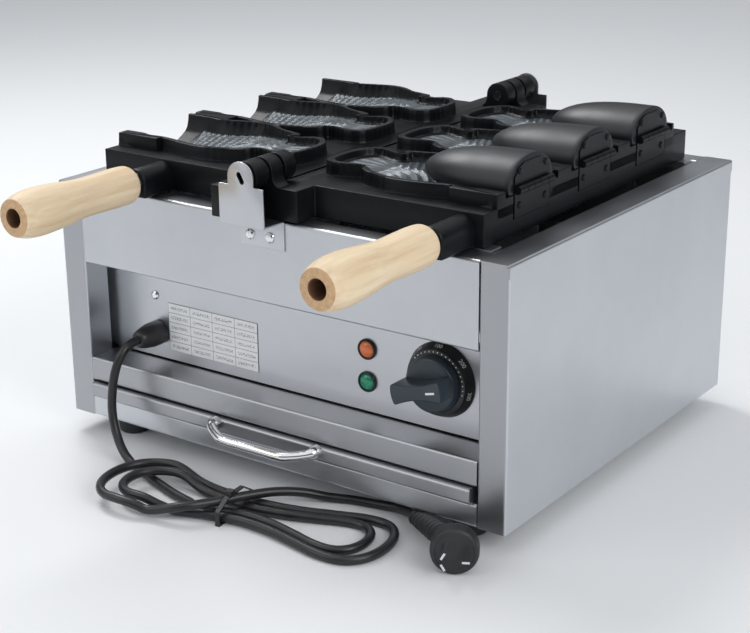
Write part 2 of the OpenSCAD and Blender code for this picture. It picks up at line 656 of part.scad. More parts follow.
// Knob with a tapered skirt and a raised grip bar, and its shaft
module thermostat_shaft() color(chrome) rod_y(dial_x, dial_z, knob_y - knob_h + 8, panel_y + 22, shaft_d);
module thermostat_knob() color("#4a5a66") translate([dial_x, knob_y, dial_z]) rotate([90, 0, 0])
    rotate([0, 0, knob_turn]) difference() {
        union() {
            rotate_extrude($fn = 96) polygon([[0, 0], [knob_d / 2, 0], [knob_d / 2, 2],
                [knob_d / 2 - 1, knob_skirt - 1], [knob_d / 2 - 2, knob_skirt], [0, knob_skirt]]);
            intersection() {
                translate([0, 0, knob_skirt - eps]) linear_extrude(knob_h - knob_skirt)
                    square([knob_d, knob_bar], center = true);
                cylinder(h = knob_h, d1 = knob_d, d2 = knob_d - 3, $fn = 96);
            }
        }
        translate([0, 0, -1]) cylinder(h = knob_h - 7, d = shaft_d + 0.02, $fn = round_fn);
        translate([0, 0, -1]) cylinder(h = 4, d = bush_d + 1, $fn = round_fn);
    }

// Drawer: an open tray, a folded front strip and a bow handle
drawer_x = drawer_w / 2;
module drawer_tray() color(steel) difference() {
    translate([-drawer_x + 2, sheet_t, tray_low]) cube([drawer_w - 4, drawer_len, tray_top - tray_low - 1]);
    translate([-drawer_x + 2 + drawer_t, sheet_t + drawer_t, tray_low + drawer_t])
        cube([drawer_w - 4 - 2 * drawer_t, drawer_len - 2 * drawer_t, tray_top]);
}
module drawer_front() color(steel) {
    along_x(-drawer_x, drawer_x) bent([[sheet_t, tray_low + half_t], [half_t - drawer_out, tray_low + half_t],
        [half_t - drawer_out, tray_top - half_t], [sheet_t, tray_top - half_t]]);
    for (s = [-1, 1]) handed(s) translate([drawer_x - sheet_t, half_t - drawer_out, tray_low])
        cube([sheet_t, drawer_out + half_t, tray_top - tray_low]);
}
module drawer_handle() color(chrome) {
    z = tray_top - 4;
    y = -drawer_out - fit;
    reach = y - bow_out;
    leg = (bow_w - bow_bar) / 2;
    side = [[bow_w / 2, y, z], [bow_w / 2, y - 4, z], [bow_w / 2 - leg * 0.12, y - 9, z - 0.6],
        [bow_w / 2 - leg * 0.6, reach + 5, z - 3], [bow_w / 2 - leg * 0.82, reach + 1.5, z - 3.8],
        [bow_bar / 2 - 4, reach, z - 4]];
    tube(concat([for (p = side) [-p.x, p.y, p.z]], [for (k = [5:-1:0]) side[k]]), bow_d / 2, 12);
}

// Fish outline along the outer edge of a mould's wall, mouth at the plate's outer edge
belly = [[188, -54], [163, -50], [134, -56], [106, -58.5], [84, -53], [64, -42]];
tail_low = [[61, -33], [50, -35.5], [38, -39], [26, -38], [19, -32]];
tail_end = [[16, -14], [16, 2], [18, 14]];
tail_top = [[25, 25], [34, 32.5], [43, 32], [54, 25], [67, 21]];
back = [[58, 33], [72, 37.5], [88, 42], [105, 52], [122, 55.5], [142, 51], [162, 45], [186, 48]];
fish_rim = concat([[plate_out, 48]], [for (k = [len(back) - 1:-1:0]) back[k]],
    [for (k = [len(tail_top) - 1:-1:0]) tail_top[k]], [for (k = [2:-1:0]) tail_end[k]],
    [for (k = [len(tail_low) - 1:-1:0]) tail_low[k]], [for (k = [len(belly) - 1:-1:0]) belly[k]],
    [[plate_out, -56]]);
mould_mouth = [for (p = grow(fish_rim, -wall_t)) if (p.x < 180) p];
mouth_from = plate_out - 20;
function mouth_run(e, s) = [[e, s * mouth_w], [mouth_from, s * mouth_w]];
function mould_edge(e) = concat(mouth_run(e, 1), mould_mouth, [for (k = [1:-1:0]) mouth_run(e, -1)[k]]);

// Mould: rings that draw in towards the fish's spine as they go down
spine_in = 44;
function sink(p, a, lift) = let (s = max(p.x, spine_in), f = cos(a))
    let (x = s + (p.x - s) * f)
    [x, p.y * f, lift - sin(a) * (tail_depth + mouth_gain * min(x, mouth_from) / plate_out)];
module mould(e) {
    edge = mould_edge(e);
    n = len(edge);
    slopes = [0, 28, 52, 73];
    points = [for (a = slopes, p = edge) sink(p, a, a == 0 ? 1 : 0)];
    rings = len(slopes);
    walls = [for (i = [0:rings - 2], k = [0:n - 1]) let (a = i * n, b = a + n, m = (k + 1) % n)
        each [[b + m, b + k, a + k], [a + m, b + m, a + k]]];
    low = (rings - 1) * n;
    polyhedron(points, concat([[for (k = [n - 1:-1:0]) k]], [[for (k = [1:n - 2]) low + k]],
        [[low, low + 1, low + n - 2, low + n - 1]], walls), convexity = 8);
}

// Handle boss with a rounded top on the plate's front face
module boss(x, out) along_y(-out, slab_y + 2) {
    translate([x - boss_w / 2, under_z]) square([boss_w, handle_h - plate_lift]);
    translate([x, body_h + handle_h]) circle(d = boss_w, $fn = round_fn);
}

// Knuckle on its foot, which stands on the sloped inner edge of the plate's ear
foot_x = knuckle_r + 5;
module knuckle(y0, y1) difference() {
    along_y(y0, y1) {
        translate([0, axis_z]) circle(r = knuckle_r, $fn = round_fn);
        polygon([[plate_in, web_z - edge_drop], [plate_in, axis_z], [knuckle_r, axis_z], [foot_x, web_z]]);
    }
    rod_y(0, axis_z, y0 - 1, y1 + 1, pin_d + 2 * pin_gap);
}
// Ears and slab share one section, whose inner edge slopes so that the knuckles can turn over it
edge_drop = 2.5;
module web_bar(x1, y0, y1) along_y(y0, y1) polygon([[plate_in, under_z], [x1, under_z], [x1, web_z],
    [foot_x, web_z], [plate_in, web_z - edge_drop]]);
module ear(y0) web_bar(plate_in + ear_w, y0, slab_y + eps);

// Slab with its fish walls and mouth blocks, drawn on the right
module slab(block_out) {
    web_bar(plate_out, slab_y, slab_y + plate_len);
    translate([0, 0, web_z - 1]) linear_extrude(rim_z - web_z + 1) {
        for (y = fish_y) translate([0, y]) polygon(fish_rim);
        translate([163, fish_y[0] - 56]) square([block_out - 163, 2 * fish_pitch + 104]);
    }
}
module moulds(e) for (y = fish_y) translate([0, y, axis_z]) mould(e);

// Left plate, with knuckles one and three of each hinge
module left_knuckles() color(iron) mirror([1, 0, 0]) both_ends() {
    knuckle(k1_y, k1_end);
    knuckle(k3_y, k3_end);
}
module left_plate() color(iron) mirror([1, 0, 0]) difference() {
    union() {
        difference() {
            slab(plate_out - 3);
            moulds(plate_out + 1);
        }
        both_ends() ear(k1_y);
        boss(handle_left, boss_left);
    }
    rod_y(handle_left, body_h + handle_h, -boss_left - 1, rod_in - boss_left, rod_d);
}

// Right plate, with the middle knuckles and an end wall under each core
module right_knuckles() color(iron) both_ends() knuckle(k2_y, k2_end);
module right_plate() color(iron) difference() {
    union() {
        difference() {
            slab(plate_out);
            moulds(plate_out - end_wall);
        }
        both_ends() ear(k2_y);
        boss(handle_right, boss_right);
    }
    rod_y(handle_right, body_h + handle_h, -boss_right - 1, rod_in - boss_right, rod_d);
    for (y = fish_y) {
        translate([plate_out - end_wall - 0.5, y - mouth_w - 0.5, end_wall_z])
            cube([end_wall + 2, 2 * mouth_w + 1, 20]);
        translate([pocket_x, y - leaf_w / 2 - 2.5, body_h + leaf_low - fit])
            cube([10, leaf_w + 3, 40]);
    }
    for (y = fish_y, s = [-1, 1])
        rod_x(y + s * leaf_pitch / 2, body_h + leaf_screw_h, pocket_x - 4.2, plate_out + 1, leaf_shank);
}
leaf_screw_h = (leaf_low + hinge_h - barrel_drop - barrel_r) / 2;
leaf_shank = 3;

// Handle: a rod from the boss through the grip, with a nut in the grip's hole
module handle_rod(x, out) color(chrome) {
    rod_y(x, body_h + handle_h, -out - rod_bare - grip_len + grip_hole - 10, rod_in - out - fit, rod_d);
    translate([x, -out - rod_bare - grip_len + grip_hole - 8, body_h + handle_h]) rotate([-90, 0, 0])
        difference() {
            cylinder(h = 8 - fit, d = grip_hole_d - 1, $fn = 6);
            translate([0, 0, -1]) cylinder(h = 10, d = rod_d + 2 * eps, $fn = round_fn);
        }
}
module handle_grip(x, out) color("#ecdcbd") translate([x, -out - rod_bare, body_h + handle_h])
    rotate([90, 0, 0]) difference() {
        rotate_extrude($fn = 72) polygon(concat([[0, 0]], curve([[grip_waist_d / 2 - 2.5, 0],
            [grip_waist_d / 2, 3], [grip_waist_d / 2 + 0.8, grip_len * 0.14],
            [grip_waist_d / 2, grip_len * 0.38], [lerp(grip_waist_d, grip_max_d, 0.62) / 2, grip_len * 0.6],
            [grip_max_d / 2, grip_len * 0.8], [lerp(grip_end_d, grip_max_d, 0.72) / 2, grip_len * 0.91],
            [grip_end_d / 2, grip_len]], 4), [[0, grip_len]]));
        translate([0, 0, -1]) cylinder(h = grip_len + 2, d = rod_d + 2 * eps, $fn = round_fn);
        translate([0, 0, grip_len - grip_hole]) cylinder(h = grip_hole + 1, d = grip_hole_d, $fn = round_fn);
    }
module left_handle_rod() mirror([1, 0, 0]) handle_rod(handle_left, boss_left);
module left_handle_grip() mirror([1, 0, 0]) handle_grip(handle_left, boss_left);
module right_handle_rod() handle_rod(handle_right, boss_right);
module right_handle_grip() handle_grip(handle_right, boss_right);

// Core hinge barrel: five knuckles, the odd ones on the lower leaf
barrel_play = 0.4;
function barrel_at(y, k) = y - leaf_w / 2 + k * leaf_w / 5;
module leaf_cut(y, ks) for (k = ks)
    rod_y(core_axis_x, core_axis_z, barrel_at(y, k) - barrel_play / 2, barrel_at(y, k + 1) + barrel_play / 2,
        2 * (barrel_r + 0.35));

module core_hinges() color(iron) for (y = fish_y) difference() {
    union() {
        translate([pocket_x, y - leaf_w / 2, body_h + leaf_low])
            cube([leaf_t, leaf_w, core_axis_z - body_h - leaf_low]);
        for (k = [0, 2, 4]) rod_y(core_axis_x, core_axis_z, barrel_at(y, k), barrel_at(y, k + 1) - barrel_play,
            2 * barrel_r);
    }
    leaf_cut(y, [1, 3]);
    rod_y(core_axis_x, core_axis_z, y - leaf_w, y + leaf_w, core_pin_d + 2 * pin_gap);
    for (s = [-1, 1]) rod_x(y + s * leaf_pitch / 2, body_h + leaf_screw_h, pocket_x - 1, plate_out + 1,
        leaf_shank + 0.3);
}

module core_pins() color(chrome) for (y = fish_y)
    rod_y(core_axis_x, core_axis_z, y - leaf_w / 2 - 0.6, y + leaf_w / 2 - barrel_play + 0.6, core_pin_d);

module side_screw(y, z, len) translate([plate_out, y, z]) rotate([0, 90, 0]) {
    translate([0, 0, -len]) cylinder(h = len + eps, d = leaf_shank, $fn = 24);
    rotate_extrude($fn = 32) polygon([[0, 0], [leaf_screw_d / 2, 0], [leaf_screw_d * 0.45, 0.8],
        [leaf_screw_d * 0.28, 1.4], [0, 1.6]]);
}
module leaf_screws() color(chrome) for (y = fish_y, s = [-1, 1])
    side_screw(y + s * leaf_pitch / 2, body_h + leaf_screw_h, leaf_t + 4);

// Core: rings of an ellipse that swells to the flat end, notched over the plate's end wall
core_steps = [0, 0.25, 0.45, 0.62, 0.76, 0.87, 0.94, 0.98];
core_sides = 24;
function core_x(s) = pocket_x - core_len * s;
function core_ring(s) = let (f = pow(1 - pow(s, 3), 0.58)) [for (k = [0:core_sides - 1])
    let (a = 360 * k / core_sides) [core_x(s), f * core_w * cos(a),
        f * sin(a) * (sin(a) > 0 ? core_up : core_down)]];
module core(y) color("#3a3f46") translate([0, y, axis_z]) difference() {
    n = core_sides;
    rings = len(core_steps);
    tip = rings * n;
    polyhedron(concat([for (s = core_steps) each core_ring(s)], [[core_x(1), 0, 0]]),
        concat([[for (k = [0:n - 1]) k]],
            [for (i = [0:rings - 2], k = [0:n - 1]) let (a = i * n, b = a + n, m = (k + 1) % n)
                each [[b + m, a + m, a + k], [b + k, b + m, a + k]]],
            [for (k = [0:n - 1]) [tip, (rings - 1) * n + (k + 1) % n, (rings - 1) * n + k]]),
        convexity = 4);
    translate([plate_out - end_wall - 0.6, -core_w - 1, -core_down - 1])
        cube([end_wall + 2, 2 * core_w + 2, core_down + 1 - (axis_z - end_wall_z) + 0.5]);
    translate([0, 0, -axis_z]) rod_y(core_axis_x, core_axis_z, -leaf_w / 2 - 1, leaf_w / 2 + 1,
        2 * (barrel_r + 0.35));
    for (s = [-1, 1]) translate([0, 0, -axis_z]) rod_x(s * leaf_pitch / 2, core_screw_z, pocket_x - 8, plate_out, leaf_shank);
}
core_screw_z = core_axis_z + leaf_up * 0.72;
module core_front() core(fish_y[0]);
module core_middle() core(fish_y[1]);
module core_back() core(fish_y[2]);

// Upper leaf on the core's flat end, with its two barrel knuckles and its screws
module core_leaf(y) color(iron) {
    difference() {
        union() {
            translate([pocket_x, y, core_axis_z]) rotate([90, 0, 90]) linear_extrude(leaf_t)
                polygon([[-leaf_w / 2, 0], [leaf_w / 2, 0], [leaf_w / 2, leaf_up * 0.5],
                    [leaf_w * 0.36, leaf_up * 0.86], [leaf_w * 0.24, leaf_up], [-leaf_w * 0.24, leaf_up],
                    [-leaf_w * 0.36, leaf_up * 0.86], [-leaf_w / 2, leaf_up * 0.5]]);
            for (k = [1, 3]) rod_y(core_axis_x, core_axis_z, barrel_at(y, k), barrel_at(y, k + 1) - barrel_play,
                2 * barrel_r);
        }
        leaf_cut(y, [0, 2, 4]);
        rod_y(core_axis_x, core_axis_z, y - leaf_w, y + leaf_w, core_pin_d + 2 * pin_gap);
        for (s = [-1, 1]) rod_x(y + s * leaf_pitch / 2, core_screw_z, pocket_x - 1, plate_out + 1, leaf_shank + 0.3);
    }
    for (s = [-1, 1]) side_screw(y + s * leaf_pitch / 2, core_screw_z, leaf_t + 7);
}
module core_leaf_front() core_leaf(fish_y[0]);
module core_leaf_middle() core_leaf(fish_y[1]);
module core_leaf_back() core_leaf(fish_y[2]);

// Cord on the floor, in a hank of two loops tied at the waist
floor_z = -foot_h;
cord_z = floor_z + cord_d / 2;
hank_at = [26, -64];
hank_turn = 7;
hank_start = -105;
hank_end = 590;
tie_lift = 1.8;
function step01(f) = let (g = min(max(f, 0), 1)) g * g * (3 - 2 * g);
function hank(q) = let (t = (q + 90) / 360)
    let (x = (112 + 20 * t) * cos(q), y = sin(q) * (5 + 11 * t + (46 + 16 * t + 8 * cos(q)) * pow(cos(q), 2)))
    let (rise = 9.4 * step01((-cos(q) - 0.45) / 0.25) + tie_lift * pow(abs(sin(q)), 6))
    let (w = spin([x, y], hank_turn)) [hank_at.x + w.x, hank_at.y + w.y, cord_z + rise];
function hank_way(q) = unit(hank(q + 1) - hank(q - 1));
hank_core = [for (q = [hank_start:15:hank_end]) hank(q)];
hank_path = concat([hank(hank_start) - cord_d * hank_way(hank_start)], hank_core,
    [hank(hank_end), hank(hank_end) + cord_d * hank_way(hank_end)]);
hank_in = hank_path[0];
hank_out = hank_path[len(hank_path) - 1];

// Least distance between points of the hank that lie far apart along it
hank_points = [for (i = [0:len(hank_path) - 2], k = [0:3]) lerp(hank_path[i], hank_path[i + 1], k / 4)];
hank_gap = min([for (i = [0:len(hank_points) - 30]) min([for (j = [i + 28:len(hank_points) - 1])
    norm(hank_points[i] - hank_points[j])])]) - cord_d;
echo(hank_gap = hank_gap);

// Route of the lead from the gland down to the floor and under the left loops
lead_z = cord_z;
lead_path = [[gland_x, panel_y - gland_len + cord_seat, gland_z], [gland_x, panel_y - gland_len - 6, gland_z],
    [-164, -15, 82], [-167, -23, 66], [-169, -27, 46], [-168, -30, 26], [-162, -33, 8], [-150, -38, -6],
    [-134, -43, -14], [-116, -48, lead_z], [-98, -55, lead_z], [-78, -62, lead_z], [-56, -69, lead_z],
    [-34, -74, lead_z], hank_in - 9 * hank_way(hank_start), hank_in];
module cord_lead() color(black) tube(lead_path, cord_d / 2, 10);
module cord_hank() color(black) tube(hank_path, cord_d / 2, 6);

// Plug: a disc that stands on its edge, with a ribbed sleeve that leaves its back aslant
plug_way = unit([50, -86, 0]);
sleeve_way = unit([-70, 44, -10.5]);
plug_at = [227, -41, floor_z + plug_d / 2 + fit];
sleeve_root = plug_at - 4 * plug_way;
sleeve_end = sleeve_root + (plug_neck + sleeve_len) * sleeve_way;
tail_path = [hank_out, hank_out + 9 * hank_way(hank_end), [-18, -104, -4.4], [2, -78, -4], [16, -54, -4],
    [30, -32, -5], [46, -12, -9], [64, 3, cord_z + 1], [84, 12, cord_z], [106, 17, cord_z],
    [128, 18, cord_z + 2], sleeve_end + 9 * sleeve_way, sleeve_end - cord_seat * sleeve_way];
module cord_tail() color(black) tube(tail_path, cord_d / 2, 10);

// Flat tie round the waist, with its head on top of the tail
tie_t = 1.2;
tie_w = 4.6;
tie_top = cord_z + 16.6;
tie_in = [[-26, floor_z + tie_t], [28, floor_z + tie_t], [28, cord_z + 7.5], [14, tie_top],
    [-10, tie_top], [-26, cord_z + 8.5]];
module cord_tie() color("#101112") translate([hank_at.x - 16, hank_at.y, 0]) rotate([0, 0, hank_turn])
    translate([-tie_w / 2, 0, 0]) rotate([90, 0, 90]) {
        linear_extrude(tie_w) difference() {
            polygon(grow(tie_in, tie_t));
            polygon(tie_in);
        }
        translate([0, 0, -1]) linear_extrude(tie_w + 2) translate([-9, tie_top]) square([7, 5]);
    }

// Turns +Z to the direction w at the point p
module aim(p, w) translate(p) rotate([0, acos(w.z), atan2(w.y, w.x)]) children();
module plug() color(black) difference() {
    union() {
        aim(plug_at, plug_way) rotate_extrude($fn = 96) polygon([[0, -plug_t / 2], [plug_d / 2 - 5, -plug_t / 2],
            [plug_d / 2 - 1, -plug_t / 2 + 4], [plug_d / 2, -plug_t / 2 + 7], [plug_d / 2, plug_t / 2 - 1.5],
            [plug_d / 2 - 1.5, plug_t / 2], [0, plug_t / 2]]);
        aim(sleeve_root, sleeve_way) rotate_extrude($fn = 48) polygon(concat([[0, 6], [13, 6], [12, 12],
            [9.6, plug_neck - 8], [sleeve_r(0), plug_neck - 4], [sleeve_r(0), plug_neck]],
            [for (k = [0:sleeve_ribs - 1], e = [0:3]) let (f = (k + (e + 1) / 4) / sleeve_ribs)
                [sleeve_r(f) + (e < 2 ? 1 : -0.4), plug_neck + sleeve_len * f]],
            [[0, plug_neck + sleeve_len]]));
    }
    aim(sleeve_end - (cord_seat + fit) * sleeve_way, sleeve_way) cylinder(h = cord_seat + 1.3, d = cord_d + 0.6, $fn = 32);
    for (k = [0:2]) plug_pin_place(k) translate([-3.3, -1.05, plug_t / 2 - 6]) cube([6.6, 2.1, 8]);
}
sleeve_ribs = 8;
function sleeve_r(f) = lerp(9, cord_d / 2 + 1.9, f);
pin_spin = [0, 150, 210];
module plug_pin_place(k) aim(plug_at, plug_way) rotate([0, 0, 90 + pin_spin[k]]) translate([10, 0, 0])
    rotate([0, 0, k == 0 ? 0 : 90]) children();
module plug_pins() color(chrome) for (k = [0:2]) plug_pin_place(k)
    translate([-3.2, -0.95, plug_t / 2 - 6 + eps]) cube([6.4, 1.9, 23]);

place() side_panel_left();
place() side_panel_right();
place() front_apron();
place() rear_apron();
place() control_panel();
place() front_shelf();
place() base_pan();
place() back_panel();
place() heater_well();
place() well_rails();
place() insulation_board();
place() heating_elements();
place() element_supports();
place() plate_rests();
place() hinge_bracket_front();
place() hinge_bracket_back();
place() hinge_pin_front();
place() hinge_pin_back();
place() bracket_screws();
place() cabinet_screws();
place() feet();
place() cord_gland();
place() lamp_bezels();
place() lamp_orange();
place() lamp_green();
place() dial_bezel();
place() thermostat_body();
place() thermostat_probe();
place() rating_plate();
place() terminal_block();
place() wiring();
place() drawer_runners();
place() thermostat_shaft();
place() thermostat_knob();
place() drawer_tray();
place() drawer_front();
place() drawer_handle();
place() left_plate();
place() left_knuckles();
place() left_handle_rod();
place() left_handle_grip();
place() right_plate();
place() right_knuckles();
place() right_handle_rod();
place() right_handle_grip();
place() core_hinges();
place() core_pins();
place() leaf_screws();
place() core_front();
place() core_middle();
place() core_back();
place() core_leaf_front();
place() core_leaf_middle();
place() core_leaf_back();
place() cord_lead();
place() cord_hank();
place() cord_tail();
place() cord_tie();
place() plug();
place() plug_pins();
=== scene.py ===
# %% [markdown]
# This lesson dresses a taiyaki maker: a stainless cabinet with two hinged cast plates, three cores,
# wooden handles and a crumb drawer. The frame holds every solid of the machine at its real place.
# We keep the plain sheet metal and only give it a finish, and we model again whatever shows a form
# or an edge that the plain solids lack. The drawing is in millimetres, and four of its places come
# back often: the cabinet's depth, the control panel, the hinge pins and the handle rods.

# %% Frame and units
import math
import bpy
from mathutils import Matrix, Vector, kdtree, geometry


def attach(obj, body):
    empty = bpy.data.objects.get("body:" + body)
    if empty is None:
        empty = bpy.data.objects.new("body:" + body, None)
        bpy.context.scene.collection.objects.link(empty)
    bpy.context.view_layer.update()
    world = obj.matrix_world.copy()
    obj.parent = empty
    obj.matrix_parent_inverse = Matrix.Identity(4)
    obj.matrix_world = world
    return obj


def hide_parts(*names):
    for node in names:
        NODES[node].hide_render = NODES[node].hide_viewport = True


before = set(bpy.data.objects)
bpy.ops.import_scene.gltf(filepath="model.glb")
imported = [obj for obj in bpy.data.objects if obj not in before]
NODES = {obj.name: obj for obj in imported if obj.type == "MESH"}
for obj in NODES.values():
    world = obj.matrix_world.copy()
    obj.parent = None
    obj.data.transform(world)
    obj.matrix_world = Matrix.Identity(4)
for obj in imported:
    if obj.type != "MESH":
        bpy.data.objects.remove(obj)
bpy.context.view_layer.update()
bpy.ops.object.select_all(action="DESELECT")
MIDDLE_Y = 139.5
FOOT = 20.0
DEPTH, PANEL_Y, PIN_Z, ROD_Z = 421, 36, 277, 251
TO_FRONT, TO_BACK = (0, -1, 0), (0, 1, 0)


def at(x, y, z):
    """A point of the cabinet's drawing in millimetres, as metres in the frame."""
    return Vector((x, y - MIDDLE_Y, z + FOOT)) / 1000


def new_object(name, data):
    """Adds an object with its data to the scene."""
    piece = bpy.data.objects.new(name, data)
    bpy.context.collection.objects.link(piece)
    return piece


# %% [markdown]
# The camera stands right of the front and looks down by 19 degrees. A picture 750 pixels wide with a
# focal length of 1642 pixels is a lens of 78.8 mm on the default sensor. We turn the three camera
# axes ourselves, because the small roll of a hand-held picture is easy to add that way.

# %% Camera
AZIMUTH, ELEVATION, ROLL = (math.radians(a) for a in (35.69, 19.07, -0.55))
PICTURE_WIDTH, FOCAL = 750, 1641.8
CAMERA_AT = (0.8801, -1.1988, 0.6390)
ahead = Vector((-math.sin(AZIMUTH) * math.cos(ELEVATION), math.cos(AZIMUTH) * math.cos(ELEVATION),
                -math.sin(ELEVATION)))
level = Vector((math.cos(AZIMUTH), math.sin(AZIMUTH), 0))
upward = level.cross(ahead)
side = level * math.cos(ROLL) + upward * math.sin(ROLL)
top = upward * math.cos(ROLL) - level * math.sin(ROLL)
lens = bpy.data.cameras.new("camera")
lens.lens = lens.sensor_width * FOCAL / PICTURE_WIDTH
lens.clip_start = 0.05
camera = new_object("camera", lens)
camera.matrix_world = Matrix.Translation(CAMERA_AT) @ Matrix((side, top, -ahead)).transposed().to_4x4()
bpy.context.scene.camera = camera
bpy.context.scene.view_settings.view_transform = "Standard"
print("lens:", round(lens.lens, 1), "mm")

# %% [markdown]
# Soft light comes from large square lamps: one from the right, a weak one from the front left, and a
# soft box high on the left, which draws the bright shapes on the cores and edges.

# %% Lamps
def lamp(name, place, target, size, power):
    """A square area lamp that faces a point."""
    light = bpy.data.lights.new(name, "AREA")
    light.size = size
    light.energy = power
    shade = new_object(name, light)
    shade.location = place
    shade.rotation_euler = (Vector(target) - Vector(place)).to_track_quat("-Z", "Y").to_euler()


lamp("lamp_right", (2.3, -0.7, 1.5), (0, 0, 0.15), 1.4, 27)
lamp("lamp_left", (-1.5, -2.0, 1.3), (0, 0, 0.15), 1.6, 11)
lamp("soft_box", (-1.25, 0.5, 1.95), (0, 0, 0.28), 0.95, 27)
print("lamps:", len(bpy.data.lights))

# %% [markdown]
# The world and the finishes are built from nodes. One helper adds a node with its choices, and gives
# each input a plain value or, where it gets a socket, a link. A second one writes a sum in one line.

# %% Node helpers
def add_node(tree, kind, inputs=None, **choices):
    """A new shader node, whose inputs are given as values or as sockets to link."""
    node = tree.nodes.new("ShaderNode" + kind)
    for label, choice in choices.items():
        setattr(node, label, choice)
    for label, value in (inputs or {}).items():
        if isinstance(value, bpy.types.NodeSocket):
            tree.links.new(value, node.inputs[label])
        else:
            node.inputs[label].default_value = value
    return node


def maths(tree, operation, a, b):
    """The result of a sum on two values."""
    return add_node(tree, "Math", {0: a, 1: b}, operation=operation).outputs[0]


def object_place(tree):
    """The X, Y and Z sockets of a piece's own coordinates."""
    return add_node(tree, "SeparateXYZ", {0: add_node(tree, "TexCoord").outputs["Object"]}).outputs


print("node helpers ready")

# %% [markdown]
# Metal shows what is round it, so reflections see a sky that is dark low down and bright overhead, as
# in a studio with a soft box above. The camera itself sees plain grey, and diffuse light comes from
# a dimmer, even sky. Light Path tells the three kinds of ray apart.

# %% World
SKY = ((0.0, 0.9), (0.06, 0.4), (0.2, 0.1), (0.42, 0.16), (0.66, 1.1), (1.0, 1.2))
world = bpy.data.worlds.new("studio")
bpy.context.scene.world = world
world.use_nodes = True
tree = world.node_tree
tree.nodes.clear()
rays = add_node(tree, "LightPath").outputs
direction = add_node(tree, "TexCoord").outputs["Generated"]
height = add_node(tree, "SeparateXYZ", {0: direction}).outputs["Z"]
sky = add_node(tree, "ValToRGB", {"Fac": height})
for place, value in SKY:
    stop = sky.color_ramp.elements.new(place)
    stop.color = (value * 0.97, value, value * 1.03, 1)
sky.color_ramp.elements.remove(sky.color_ramp.elements[-1])
light_side = add_node(tree, "Background", {"Color": (0.93, 0.96, 1.0, 1), "Strength": 0.55})
seen_side = add_node(tree, "Background", {"Color": sky.outputs["Color"], "Strength": 0.9})
room_side = add_node(tree, "Background", {"Color": (0.76, 0.77, 0.79, 1)})
mirrored_ray = maths(tree, "MAXIMUM", rays["Is Glossy Ray"], rays["Is Transmission Ray"])
pick = add_node(tree, "MixShader", {0: mirrored_ray, 1: light_side.outputs[0], 2: seen_side.outputs[0]})
behind = add_node(tree, "MixShader",
                  {0: rays["Is Camera Ray"], 1: pick.outputs[0], 2: room_side.outputs[0]})
add_node(tree, "OutputWorld", {"Surface": behind.outputs[0]})
print("world nodes:", len(tree.nodes))

# %% [markdown]
# The floor is a wide matt sheet, which keeps the machine's shadow. It belongs to the stage and not to
# the machine.

# %% Floor
bpy.ops.mesh.primitive_plane_add(size=24, location=(0, 0, 0))
floor = bpy.context.object
floor.name = "floor"
paper = bpy.data.materials.new("pale_floor")
paper.use_nodes = True
paper_shader = paper.node_tree.nodes["Principled BSDF"]
paper_shader.inputs["Base Color"].default_value = (0.82, 0.83, 0.84, 1)
paper_shader.inputs["Roughness"].default_value = 0.8
floor.data.materials.append(paper)
print("floor:", round(floor.dimensions.x), "m wide")

# %% [markdown]
# Finishes share a few patterns: a noise, a value spread to another range and a mix of two colours. A
# shader group is made in one call that names its sockets.

# %% Node patterns
def shader_group(name, inputs, outputs):
    """A new node group with its sockets, and its input sockets and output node."""
    group = bpy.data.node_groups.new(name, "ShaderNodeTree")
    for label, kind, value in inputs:
        socket = group.interface.new_socket(label, in_out="INPUT", socket_type="NodeSocket" + kind)
        if value is not None:
            socket.default_value = value
    for label, kind in outputs:
        group.interface.new_socket(label, in_out="OUTPUT", socket_type="NodeSocket" + kind)
    return group, group.nodes.new("NodeGroupInput").outputs, group.nodes.new("NodeGroupOutput").inputs


def noise(tree, vector, scale, detail, roughness=0.5):
    """A noise texture on a vector socket."""
    return add_node(tree, "TexNoise", {"Vector": vector, "Scale": scale, "Detail": detail,
                                       "Roughness": roughness}).outputs["Fac"]


def spread(tree, value, low, high, new_low=0.0, new_high=1.0):
    """Maps a range of a value to another range."""
    return add_node(tree, "MapRange", {"Value": value, "From Min": low, "From Max": high,
                                       "To Min": new_low, "To Max": new_high}).outputs["Result"]


def tone_mix(tree, value, dark, light):
    """Mixes two colours by a value."""
    inputs = {"Factor": value, "A": dark, "B": light}
    return add_node(tree, "Mix", inputs, data_type="RGBA").outputs["Result"]


print("node patterns ready")

# %% [markdown]
# Three effects come back in many finishes: a slow change of tone over a face, the long fine streaks
# of brushed metal or sawn wood, and the small grain of a casting or of moulded plastic. Each is one
# shader group, placed in a material with that material's own colours, scales and depths.

# %% Shader groups
tone, t_in, t_out = shader_group("slow_tone", [
    ("Vector", "Vector", None), ("Scale", "Float", 8.0), ("Dark", "Color", None),
    ("Light", "Color", None), ("Smooth", "Float", 0.3), ("Rough", "Float", 0.4)],
    [("Color", "Color"), ("Roughness", "Float")])
patch = noise(tone, t_in["Vector"], t_in["Scale"], 4.0, 0.6)
patch_wide = spread(tone, patch, 0.32, 0.68)
tone.links.new(tone_mix(tone, patch_wide, t_in["Dark"], t_in["Light"]), t_out["Color"])
tone.links.new(spread(tone, patch, 0.3, 0.7, t_in["Smooth"], t_in["Rough"]), t_out["Roughness"])

streak, s_in, s_out = shader_group("long_streaks", [
    ("Vector", "Vector", None), ("Stretch", "Vector", (4.0, 4.0, 500.0)), ("Dark", "Color", None),
    ("Light", "Color", None)], [("Color", "Color"), ("Height", "Float")])
drawn_out = add_node(streak, "VectorMath", {0: s_in["Vector"], 1: s_in["Stretch"]}, operation="MULTIPLY")
line = noise(streak, drawn_out.outputs[0], 1.0, 5.0, 0.65)
line_wide = spread(streak, line, 0.3, 0.7)
streak.links.new(tone_mix(streak, line_wide, s_in["Dark"], s_in["Light"]), s_out["Color"])
streak.links.new(line, s_out["Height"])

